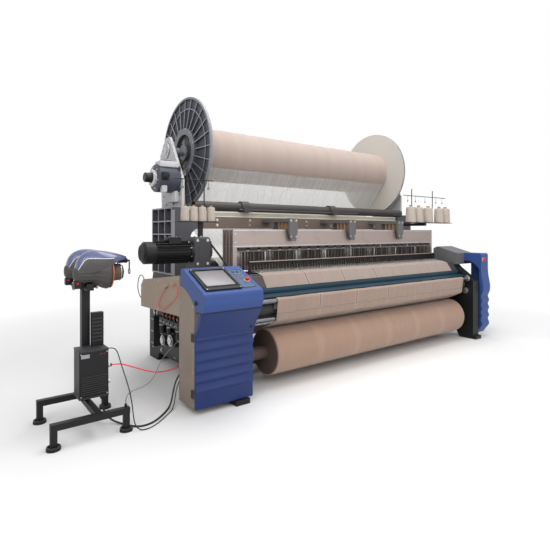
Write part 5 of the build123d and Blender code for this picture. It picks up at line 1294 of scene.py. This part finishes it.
class LOOM_OT_fastenings(bpy.types.Operator):
    """Bolt the side frames and trim the ends of rollers, rods and shafts"""

    bl_idname = "loom.fastenings"
    bl_label = "Frame bolts and bearings"

    def execute(self, context):
        places = [(y, 0.14) for y in (-0.95, -0.62, -0.30, 0.10, 0.46, 0.70)]
        places += [(y, 0.92) for y in (-0.62, -0.30, 0.10, 0.46)] + [(0.66, 0.88)]
        journals = (TAKEUP_AXIS, CLOTH_AXIS, GROUND_AXIS, (-0.500, 0.470))
        for side, label in SIDES:
            out = (side, 0, 0)
            outer = side * FRAME_OUTER
            clamp = side * (FRAME_INNER - 0.026)
            settle(bolts(outer, places, out, 0.014, 0.010), f"frame_bolts_{label}")
            settle([ring(0.033, 0.066, 0.012, (outer, *axis), out, 32) for axis in journals],
                   f"journal_rings_{label}", "dull_alloy")
            settle([ring(0.0222, 0.040, 0.026, (clamp, *axis), out, 32) for axis in ROD_AXES],
                   f"rod_clamps_{label}", "alloy")
        return {"FINISHED"}


# Cabinet and console

SCREEN_X = -2.119
SCREEN_DOWN = 0.195
KEYS_X = -1.880
KEYS_DOWN = 0.215
LOCK_AXIS = (-1.115, 0.893)


def on_console(piece, x, down, proud):
    """Lays a piece on the console's slope."""
    return laid(piece, on_slope(x, down, proud), SLOPE_TILT)


def border(x, down, proud, reach, size, bar, rounding, segments=2):
    """Four bars round a plate on the slope: half distances, outer size and the bar's width and height."""
    width, height = bar
    bars = [(0.0, step, size[0], width) for step in (-reach[1], reach[1])]
    bars += [(step, 0.0, width, size[1]) for step in (-reach[0], reach[0])]
    return [on_console(pad((wide, deep, height), rounding, segments), x + across, down + along, proud)
            for across, along, wide, deep in bars]


class LOOM_OT_console(bpy.types.Operator):
    """Fit the console's glass, bezel, keys and lock"""

    bl_idname = "loom.console"
    bl_label = "Console"

    def execute(self, context):
        normal = (0.0, -math.sin(SLOPE_TILT), math.cos(SLOPE_TILT))
        glass = on_console(pad((0.262, 0.236, 0.0016), 0.0006), SCREEN_X, SCREEN_DOWN, 0.0118)
        settle(glass, "screen_glass", "screen")
        bezel = border(SCREEN_X, SCREEN_DOWN, 0.0155, (0.145, 0.133), (0.300, 0.276), (0.010, 0.005), 0.002)
        settle(bezel, "screen_bezel", "black_plastic")
        settle([cap(on_slope(SCREEN_X + across, down, 0.014), normal, 14, 0.0050, 0.0016, 0.0022, 0.0036)
                for across in (-0.152, 0.152) for down in (0.049, 0.361)], "screen_screws")
        keys = {"dark_plastic": [], "mushroom_red": [], "grey_plastic": []}
        for index in range(4):
            across, down = (-0.021, 0.021)[index % 2], (0.106, 0.148)[index // 2]
            key = on_console(pad((0.020, 0.020, 0.003), 0.0012), KEYS_X + across, down, 0.0066)
            keys["grey_plastic" if index > 1 else "dark_plastic"].append(key)
        for index in range(6):
            place = on_slope(-1.905 + index % 3 * 0.025, 0.185 + index // 3 * 0.026, 0.003)
            knob = cap(place, normal, 20, 0.0078, 0.003, 0.0042, 0.0062)
            keys["grey_plastic" if index else "mushroom_red"].append(knob)
        for look, pieces in keys.items():
            settle(pieces, "keys_" + look.split("_")[0], look)
        rim = border(KEYS_X, KEYS_DOWN, 0.0036, (0.0645, 0.147), (0.130, 0.298), (0.004, 0.0016), 0.0006, 1)
        settle(rim, "keys_rim", "dark_plastic")
        settle([
            cap((-2.3285, *LOCK_AXIS), LEFT, 28, 0.0118, 0.0016, 0.0024, 0.0100),
            ring(0.0133, 0.0175, 0.0070, (-CABINET_OUTER, *LOCK_AXIS), LEFT, 32, 0.0012),
        ], "hood_lock_face", "black_plastic")
        return {"FINISHED"}


DOOR_BACK = -1.084
DOOR_FACE = -1.101
DOOR_NECK = ((-1.231, 0.820), (-1.2135, 0.785), (-1.191, 0.750), (-1.168, 0.715), (-1.147, 0.680))
RIDGE_TOP = 0.655
RIDGE_PITCH = 0.0815
RIDGE_COUNT = 6
RIDGE_DEPTH = 0.0165
RIDGE_CREST = 0.62
RIDGE_STEPS = 12


def door_line():
    """The door's outline from the side: its curved neck, then the moulded ridges."""
    points = list(DOOR_NECK)
    for index in range(RIDGE_COUNT):
        for step in range(RIDGE_STEPS):
            share = step / RIDGE_STEPS
            if share < RIDGE_CREST:
                out = (share / RIDGE_CREST) ** 1.6
            else:
                fall = (share - RIDGE_CREST) / (1.0 - RIDGE_CREST)
                out = 1.0 - fall * fall * (3.0 - 2.0 * fall)
            if index == 0:
                out = max(out, (1.0 - share) ** 1.5 * 1.9)
            points.append((DOOR_FACE - RIDGE_DEPTH * out, RIDGE_TOP - (index + share) * RIDGE_PITCH))
    points.append((DOOR_FACE, RIDGE_TOP - RIDGE_COUNT * RIDGE_PITCH))
    return points


class LOOM_OT_cabinet(bpy.types.Operator):
    """Mould the cabinet's ridged door and trim its seams, hinges and louvres"""

    bl_idname = "loom.cabinet"
    bl_label = "Cabinet door and trims"

    def execute(self, context):
        low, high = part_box("cabinet_door")
        line = door_line() + [(DOOR_FACE, low[2]), (DOOR_BACK, low[2]), (DOOR_BACK, 0.650), (-1.141, 0.820)]
        alone()
        bpy.ops.mesh.primitive_circle_add(vertices=len(line), radius=1.0, fill_type="NGON")
        door = context.object
        for vertex, (y, z) in zip(door.data.vertices, line):
            vertex.co = (low[0], DATUM_Y + y, z)
        with editing(door):
            bpy.ops.mesh.extrude_region_move(TRANSFORM_OT_translate={"value": (high[0] - low[0], 0.0, 0.0)})
        settle(soften(door, 0.0025), "door_shell", "door_blue", "door", 40.0)
        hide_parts("cabinet_door")
        settle([block((-2.3327, -1.0838, z - 0.0325), (-2.3196, -1.0480, z + 0.0325), 0.003)
                for z in (0.615, 0.170)], "hinge_leaves", "black_plastic")
        slots = [0.300 + index * 0.026 for index in range(9)]
        settle([block((-2.3222, -1.030, z), (-2.3194, -0.880, z + 0.012), 0.0012, 1) for z in slots],
               "case_louvres", "beige")
        screws = [cap((-CABINET_OUTER, y, z), LEFT, 16, 0.0065, 0.002, 0.003, 0.0045)
                  for y in (-1.055, -0.830) for z in (0.08, 0.34, 0.60, 0.86)]
        guard = ((-0.78, 0.77), (-0.78, 1.055), (-0.36, 0.745), (-0.36, 1.0), (0.06, 0.735), (0.06, 0.90))
        screws += [cap((-CABINET_OUTER, y, z), LEFT, 16, 0.0075, 0.002, 0.003, 0.0050) for y, z in guard]
        settle(screws, "case_screws")
        seam = block((-CABINET_OUTER, -1.2355, 0.8205), (-1.7785, -1.120, 0.8275), 0.001, 1)
        settle(seam, "door_seam", "sheath_black")
        latch = cap((-1.822, -1.1408, 0.655), (0, -1, 0.25), 24, 0.014, 0.003, 0.0045, 0.011)
        settle(latch, "door_latch", "black_plastic", "door")
        return {"FINISHED"}


# Shedding motor and gearbox


class LOOM_OT_drive(bpy.types.Operator):
    """Fit the shedding motor's grid, ribs, lid and gland and the gearbox's cover, stay and bolts"""

    bl_idname = "loom.drive"
    bl_label = "Shedding drive"

    def execute(self, context):
        y, z = MOTOR_AXIS
        settle([ring(radius, radius + 0.005, 0.003, (-2.4885, y, z), LEFT, 32, 0.0)
                for radius in (0.022, 0.038, 0.054, 0.068)], "fan_grid", "dark_plastic")
        ribs = []
        rib_count = 28
        for index, place in enumerate(circle(MOTOR_AXIS, MOTOR_RIM, rib_count)):
            tilt = math.tau * index / rib_count - math.pi / 2
            if abs(tilt) > 0.62:
                ribs.append(laid(pad((0.300, 0.003, 0.012), 0.0008, 1), (-2.215, *place), tilt))
        settle(ribs, "motor_ribs", "motor_black")
        lid = block((-2.252, y - 0.052, z + 0.132), (-2.124, y + 0.052, z + 0.1415), 0.003)
        settle(lid, "motor_lid", "dark_plastic")
        heads = [cap((x, y + step, z + 0.1415), UP, 12, 0.005, 0.003, 0.004, 0.0035)
                 for x in (-2.244, -2.132) for step in (-0.042, 0.042)]
        heads += bolts(-2.0426, circle(MOTOR_AXIS, MOTOR_RIM, 8, 0.5), LEFT, 0.0065, 0.008)
        heads += [bolt((x, -0.478, height), FRONT, 0.009, 0.007)
                  for x in (-1.985, -1.880) for height in (1.150, 1.370)]
        heads += [bolt((-1.935, y + step, 1.403), UP, 0.009, 0.007) for step in (-0.070, 0.070)]
        settle(heads, "drive_bolts")
        plate = block((-1.972, -0.4802, 1.185), (-1.893, -0.4780, 1.335), 0.0012, 1)
        settle(plate, "gearbox_cover", "gearbox_grey")
        settle([
            rod((-1.842, -0.456, 1.344), (-1.715, -0.730, 1.026), 0.010),
            block((-1.735, -0.748, 1.0151), (-1.695, -0.712, 1.030), 0.003),
            block((-1.8504, -0.476, 1.325), (-1.836, -0.440, 1.362), 0.003),
        ], "gearbox_stay", "black_plastic")
        gland = lathe([(0.0, 0.013), (0.012, 0.013), (0.013, 0.016), (0.022, 0.016), (0.026, 0.010)],
                      (-2.252, y - 0.02, z + 0.112), LEFT, 20)
        settle(gland, "motor_gland", "black_plastic")
        return {"FINISHED"}


# Weft feeders and their stand. The bell is given by place along and radius, the
# saddle by place along, crown height, half width and skirt height.

BELL = (
    (-0.262, 0.040), (-0.256, 0.048), (-0.240, 0.062), (-0.214, 0.071), (-0.190, 0.0742), (-0.127, 0.0745),
    (-0.112, 0.084), (-0.096, 0.096), (-0.078, 0.108), (-0.060, 0.1165), (-0.036, 0.1235),
    (-0.024, 0.1225), (-0.014, 0.118), (-0.006, 0.107), (0.0, 0.096),
)
SADDLE = (
    (-0.257, 0.040, 0.026, 0.010), (-0.248, 0.086, 0.044, 0.006), (-0.228, 0.128, 0.060, 0.006),
    (-0.190, 0.160, 0.076, 0.008), (-0.140, 0.1755, 0.083, 0.010), (-0.090, 0.1765, 0.099, 0.024),
    (-0.040, 0.170, 0.114, 0.040), (0.004, 0.161, 0.106, 0.072), (0.050, 0.149, 0.074, 0.094),
    (0.092, 0.135, 0.046, 0.099), (0.122, 0.123, 0.020, 0.101),
)
SADDLE_COLUMNS = 20
FLUTE_COUNT = 16
FLUTE_DEPTH = 0.06


class LOOM_OT_feeders(bpy.types.Operator):
    """Model the two weft feeders: fluted bell, saddle, rings, drum and nose"""

    bl_idname = "loom.feeders"
    bl_label = "Weft feeders"

    def execute(self, context):
        for label, y in (("front", -0.700), ("rear", -0.400)):
            bell = settle(self.bell(y), f"feeder_bell_{label}", "feeder_grey", smooth=50)
            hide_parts("weft_feeders")
            settle(self.saddle(y), f"feeder_saddle_{label}", "saddle_shell", smooth=60)
            settle(self.trim(y), f"feeder_trim_{label}", "ring_white", smooth=60)
            for name, look, made in self.fittings(y):
                settle(made, f"feeder_{name}_{label}", look)
        return {"FINISHED"}

    def fittings(self, y):
        """The belt, drum, nose and tail: name, finish and what is made."""
        def at(along, across=0.0, up=0.0):
            return MOUTH_X + along, y + across, FEEDER_Z + up

        yield "belt", "orange", ring(0.0935, 0.1195, 0.007, at(-0.0066), RIGHT, 64, 0.003)
        yield "drum", "drum_yarn", [
            lathe([(0.0, 0.060), (0.006, 0.066), (0.056, 0.0625), (0.0605, 0.060), (0.066, 0.050)],
                  at(0.0126), RIGHT, 48),
            rod(at(-0.004), at(0.0146), 0.012),
        ]
        turns = [(0.0625 - index * 0.0006, 0.0206 + index * 0.0078) for index in range(6)]
        yield "yarn", "drum_yarn", [
            ring(inner, inner + 0.0046, 0.0042, at(along), RIGHT, 48, 0.0014) for inner, along in turns]
        yield "rim", "steel", ring(0.050, 0.0665, 0.007, at(0.0688), RIGHT, 48, 0.002)
        yield "end", "black_plastic", lathe(
            [(0.0, 0.048), (0.003, 0.056), (0.012, 0.056), (0.016, 0.046), (0.019, 0.020), (0.028, 0.012)],
            at(0.0781), RIGHT)
        yield "nose", "black_plastic", [
            block(at(-0.010, -0.026, 0.094), at(0.090, 0.026, 0.122), 0.009, 3),
            block(at(0.070, -0.020, 0.082), at(0.124, 0.020, 0.114), 0.010, 3),
            lathe([(0.0, 0.013), (0.004, 0.0190), (0.036, 0.0190), (0.039, 0.0165),
                   (0.048, 0.0165), (0.051, 0.0190), (0.072, 0.0190), (0.076, 0.013)],
                  at(0.060, 0.0, 0.0885), RIGHT, 28),
            block(at(0.126, -0.008, 0.080), at(0.154, 0.008, 0.094), 0.004),
            block(at(0.1476, -0.008, 0.019), at(0.1542, 0.008, 0.094), 0.002),
            ring(0.0150, 0.0215, 0.0066, at(0.1476), RIGHT, 32),
        ]
        yield "tail", "black_plastic", [
            lathe([(0.0, 0.037), (0.0015, 0.036)], at(-0.262), LEFT, 32),
            block(at(-0.2615, -0.030, -0.110), at(-0.204, 0.030, -0.052), 0.009, 3),
            block(at(-0.214, -0.024, -0.122), at(-0.196, 0.024, -0.078), 0.005),
        ]
        yield "lens", "steel", cap(at(0.030, -0.026, 0.108), FRONT, 20, 0.010, 0.004, 0.006, 0.007)
        yield "lamp", "mushroom_red", cap(at(-0.240, -0.0295, -0.070), FRONT, 20, 0.009, 0.005, 0.008, 0.005)

    def bell(self, y):
        """The housing: turned, then fluted along its waist and shoulder."""
        tail = BELL[0][0]
        steps = [(along - tail, radius) for along, radius in BELL]
        bell = lathe(steps, (MOUTH_X + tail, y, FEEDER_Z), RIGHT, 96)
        for vertex in bell.data.vertices:
            along = vertex.co.z + tail
            window = min(max(min(along + 0.245, -0.052 - along) / 0.035, 0.0), 1.0)
            angle = math.atan2(vertex.co.y, vertex.co.x)
            groove = max(0.0, math.cos(angle * FLUTE_COUNT)) * FLUTE_DEPTH * window
            vertex.co.x *= 1.0 - groove
            vertex.co.y *= 1.0 - groove
        return bell

    def saddle(self, y):
        """A smooth shell over the housing, wide at the middle and beaked at the front."""
        alone()
        rows = len(SADDLE) - 1
        bpy.ops.mesh.primitive_grid_add(x_subdivisions=SADDLE_COLUMNS, y_subdivisions=rows, size=1.0)
        shell = bpy.context.object
        for vertex in shell.data.vertices:
            row, column = divmod(vertex.index, SADDLE_COLUMNS + 1)
            along, crown, half, skirt = SADDLE[row]
            angle = math.radians(-90 + 180 * column / SADDLE_COLUMNS)
            height = skirt + (crown - skirt) * abs(math.cos(angle)) ** 0.8
            vertex.co = spot(MOUTH_X + along, y + math.sin(angle) * half, FEEDER_Z + height)
        face_outwards(shell)
        change(shell, "SUBSURF", levels=2, render_levels=2)
        return change(shell, "SOLIDIFY", thickness=0.003, offset=-1.0)

    def trim(self, y):
        """Pale piping where the blue crown meets the dark shoulder."""
        sides = []
        for side, _ in SIDES:
            points = []
            for along, crown, half, skirt in SADDLE[1:8]:
                line = min(shoulder_lines(along))
                share = min(max((line - skirt) / (crown - skirt), 0.0), 0.97)
                reach = math.sin(math.acos(share ** 1.25)) * (half + 0.0002)
                points.append((MOUTH_X + along, y + side * reach, FEEDER_Z + line))
            sides.append(wire(points, 0.0024, 3))
        return joined(sides)


class LOOM_OT_stand(bpy.types.Operator):
    """Trim the feeder stand's controller, supply, cross tube and feet"""

    bl_idname = "loom.stand"
    bl_label = "Stand fittings"

    def execute(self, context):
        left, right = -3.097, -2.889
        front, rear = -0.800, -0.630
        low, top = 0.218, 0.573
        label = block((left + 0.012, front - 0.0014, 0.518), (left + 0.072, front, 0.546), 0.0005, 1)
        settle(label, "controller_label", "label_grey")
        fins = [low + 0.030 + index * 0.016 for index in range(9)]
        settle([block((left + 0.014, front - 0.007, z), (right - 0.014, front, z + 0.006), 0.0015, 1)
                for z in fins], "controller_fins", "dark_plastic")
        settle([block((left - 0.0015, front - 0.002, z), (right + 0.0015, rear + 0.0005, z + 0.0135))
                for z in (top - 0.012, low - 0.0015)], "controller_caps", "dark_plastic")
        ports = [ring(0.0068, 0.0150, 0.012, (right + 0.0004, y, z), RIGHT, 24, 0.001)
                 for y, z in ((-0.785, 0.437), (-0.680, 0.540))]
        glands = ((-0.735, 0.300, 0.020, 0.016, 0.026), (-0.680, 0.330, 0.013, 0.010, 0.022))
        for y, z, nut, neck, reach in glands:
            steps = [(0.0, nut), (0.010, nut), (0.012, neck), (reach, neck)]
            ports.append(lathe(steps, (right, y, z), RIGHT, 24))
        settle(ports, "controller_ports")
        settle([cap((right - 0.060 + index * 0.014, front, 0.536), FRONT, 12, 0.0032, 0.0024, 0.0036, 0.0020)
                for index in range(3)], "controller_lamps", "mushroom_red")
        slots = [top + 0.040 + index * 0.028 for index in range(7)]
        settle([block((-2.981, -0.701, z), (-2.897, -0.6975, z + 0.010), 0.001, 1) for z in slots],
               "supply_slots", "dark_plastic")
        corners = [(x, z) for x in (left + 0.012, right - 0.012) for z in (low + 0.02, top - 0.024)]
        settle([cap((x, front - 0.002, z), FRONT, 12, 0.005, 0.002, 0.003, 0.0035) for x, z in corners],
               "controller_screws")
        settle([ring(0.0242, 0.032, 0.012, (x, -0.600, 1.035), RIGHT, 28, 0.002) for x in (-3.098, -2.930)],
               "tee_rings", "alloy")
        settle([ring(0.0335, 0.044, 0.010, (x, y, 0.0161), UP, 32, 0.002)
                for x in (-3.303, -2.822) for y in (-1.0, -0.47)], "foot_rings", "dark_plastic")
        return {"FINISHED"}


# Air unit under the guard box

UNIT_FACE = -2.130
VALVE_MIDDLE = -0.306


class LOOM_OT_air(bpy.types.Operator):
    """Fit the air unit's gauges, valve caps, bowls and fittings"""

    bl_idname = "loom.air"
    bl_label = "Air unit fittings"

    def execute(self, context):
        face = UNIT_FACE - 0.058
        rims, dials, hands = [], [], []
        for y, z, radius in ((-0.330, 0.430, 0.068), (-0.150, 0.400, 0.060)):
            rims.append(ring(radius * 0.62, radius * 0.80, 0.010, (face, y, z), LEFT, 40, 0.002))
            dials.append(lathe([(0.0, radius * 0.5), (0.002, radius * 0.5)], (face - 0.0174, y, z), LEFT, 32))
            rims.append(ring(radius * 0.30, radius * 0.56, 0.006, (face - 0.012, y, z), LEFT, 32, 0.002))
            hands.append(laid(pad((0.0012, 0.003, radius * 0.7), 0.0), (face - 0.0198, y, z), 0.8))
        settle(rims, "gauge_rims")
        settle(dials, "gauge_dials", "white_plastic")
        settle(hands, "gauge_hands", "sheath_black", smooth=0)
        caps, knobs, ports = [], [], []
        for index in range(5):
            y = VALVE_MIDDLE + (index - 2) * 0.084
            x = UNIT_FACE - 0.033
            caps.append(block((x - 0.017, y - 0.016, 0.678), (x + 0.017, y + 0.016, 0.6905), 0.003))
            knobs.append(cap((x - 0.0198, y, 0.650), LEFT, 20, 0.010, 0.010, 0.012, 0.007))
            ports.append(lathe([(0.0, 0.011), (0.006, 0.011), (0.007, 0.008), (0.018, 0.008), (0.020, 0.006)],
                               (UNIT_FACE - 0.066, y, 0.590), LEFT, 20))
        settle(caps, "valve_caps", "grey_plastic")
        settle(knobs, "valve_coils", "orange")
        settle(ports, "valve_ports")
        bowls = []
        x = UNIT_FACE - 0.028
        for y in (-0.440, -0.236, -0.060):
            bowls.append(ring(0.0262, 0.030, 0.012, (x, y, 0.530), UP, 32, 0.002))
            bowls.append(lathe([(0.0, 0.022), (0.010, 0.018), (0.016, 0.008), (0.028, 0.006)],
                               (x, y, 0.4559), DOWN, 24))
        settle(bowls, "bowl_rings", "dull_alloy")
        corners = ((-0.70, 0.65), (-0.70, 0.30), (-0.05, 0.65), (-0.05, 0.33), (0.10, 0.66))
        block_places = [(y, z) for y in (0.085, 0.116) for z in (0.33, 0.45, 0.57)]
        settle(bolts(UNIT_FACE, corners, LEFT, 0.010, 0.007)
               + bolts(UNIT_FACE - 0.066, block_places, LEFT, 0.006, 0.005), "unit_bolts")
        return {"FINISHED"}


# Cones and right cover


class LOOM_OT_cones(bpy.types.Operator):
    """Set paper tubes and yarn crowns on the cones"""

    bl_idname = "loom.cones"
    bl_label = "Yarn cones"

    def execute(self, context):
        small = [(x, 1.553, 0.043, 0.134) for x in (-2.067, -1.976, -1.885, -1.791)]
        large = [(x, 1.588, 0.074, 0.212) for x in (1.400, 1.580, 1.811, 2.092, 2.252)]
        tubes, crowns = [], []
        for x, base, radius, height in small + large:
            top = base + height
            tubes.append(ring(radius * 0.20, radius * 0.31, height * 0.085,
                              (x, CONE_Y, top + height * 0.0701), UP, 28, 0.0008))
            crown = ((0.0, 0.84), (0.004, 0.80), (0.006, 0.60), (0.0045, 0.34))
            steps = [(rise, radius * share) for rise, share in crown]
            crowns.append(lathe(steps, (x, CONE_Y, top - 0.0005), UP, 36))
        settle(tubes, "cone_tubes", "timber")
        settle(crowns, "cone_crowns", "cone_cream")
        return {"FINISHED"}


class LOOM_OT_covers(bpy.types.Operator):
    """Screw down the right cover and trim its seam"""

    bl_idname = "loom.covers"
    bl_label = "Right cover"

    def execute(self, context):
        places = ((-1.04, 1.10), (-0.90, 1.10), (-1.05, 0.90), (-1.05, 0.30),
                  (-0.88, 0.90), (-0.88, 0.30), (-0.96, 0.10))
        settle([cap((2.1825, y, z), RIGHT, 16, 0.0075, 0.002, 0.003, 0.005) for y, z in places],
               "cover_screws")
        seam = block((1.9972, -0.8436, 1.000), (2.1828, -0.8414, 1.155), 0.0008, 1)
        settle(seam, "cover_seam", "sheath_black")
        return {"FINISHED"}


STEPS = (
    LOOM_OT_finishes, LOOM_OT_stage, LOOM_OT_cords, LOOM_OT_cloth, LOOM_OT_warp,
    LOOM_OT_healds, LOOM_OT_strands, LOOM_OT_beam, LOOM_OT_letoff, LOOM_OT_girder,
    LOOM_OT_fastenings, LOOM_OT_console, LOOM_OT_cabinet, LOOM_OT_drive, LOOM_OT_feeders,
    LOOM_OT_stand, LOOM_OT_air, LOOM_OT_cones, LOOM_OT_covers,
)


class LOOM_PT_panel(bpy.types.Panel):
    """Lists the loom's building steps in the sidebar"""

    bl_label = "Terry power loom"
    bl_idname = "LOOM_PT_panel"
    bl_space_type = "VIEW_3D"
    bl_region_type = "UI"
    bl_category = "Loom"

    def draw(self, context):
        for group in (context.scene.loom_colours, context.scene.loom_sizes):
            for name in group.__annotations__:
                self.layout.prop(group, name)
        for step in STEPS:
            self.layout.operator(step.bl_idname)


CLASSES = (LoomColours, LoomSizes, *STEPS, LOOM_PT_panel)


def register():
    for item in CLASSES:
        bpy.utils.register_class(item)
    bpy.types.Scene.loom_colours = PointerProperty(type=LoomColours)
    bpy.types.Scene.loom_sizes = PointerProperty(type=LoomSizes)


def unregister():
    del bpy.types.Scene.loom_sizes
    del bpy.types.Scene.loom_colours
    for item in reversed(CLASSES):
        bpy.utils.unregister_class(item)


def main():
    register()
    for step in STEPS:
        group, name = step.bl_idname.split(".")
        getattr(getattr(bpy.ops, group), name)()


if __name__ == "__main__":
    main()
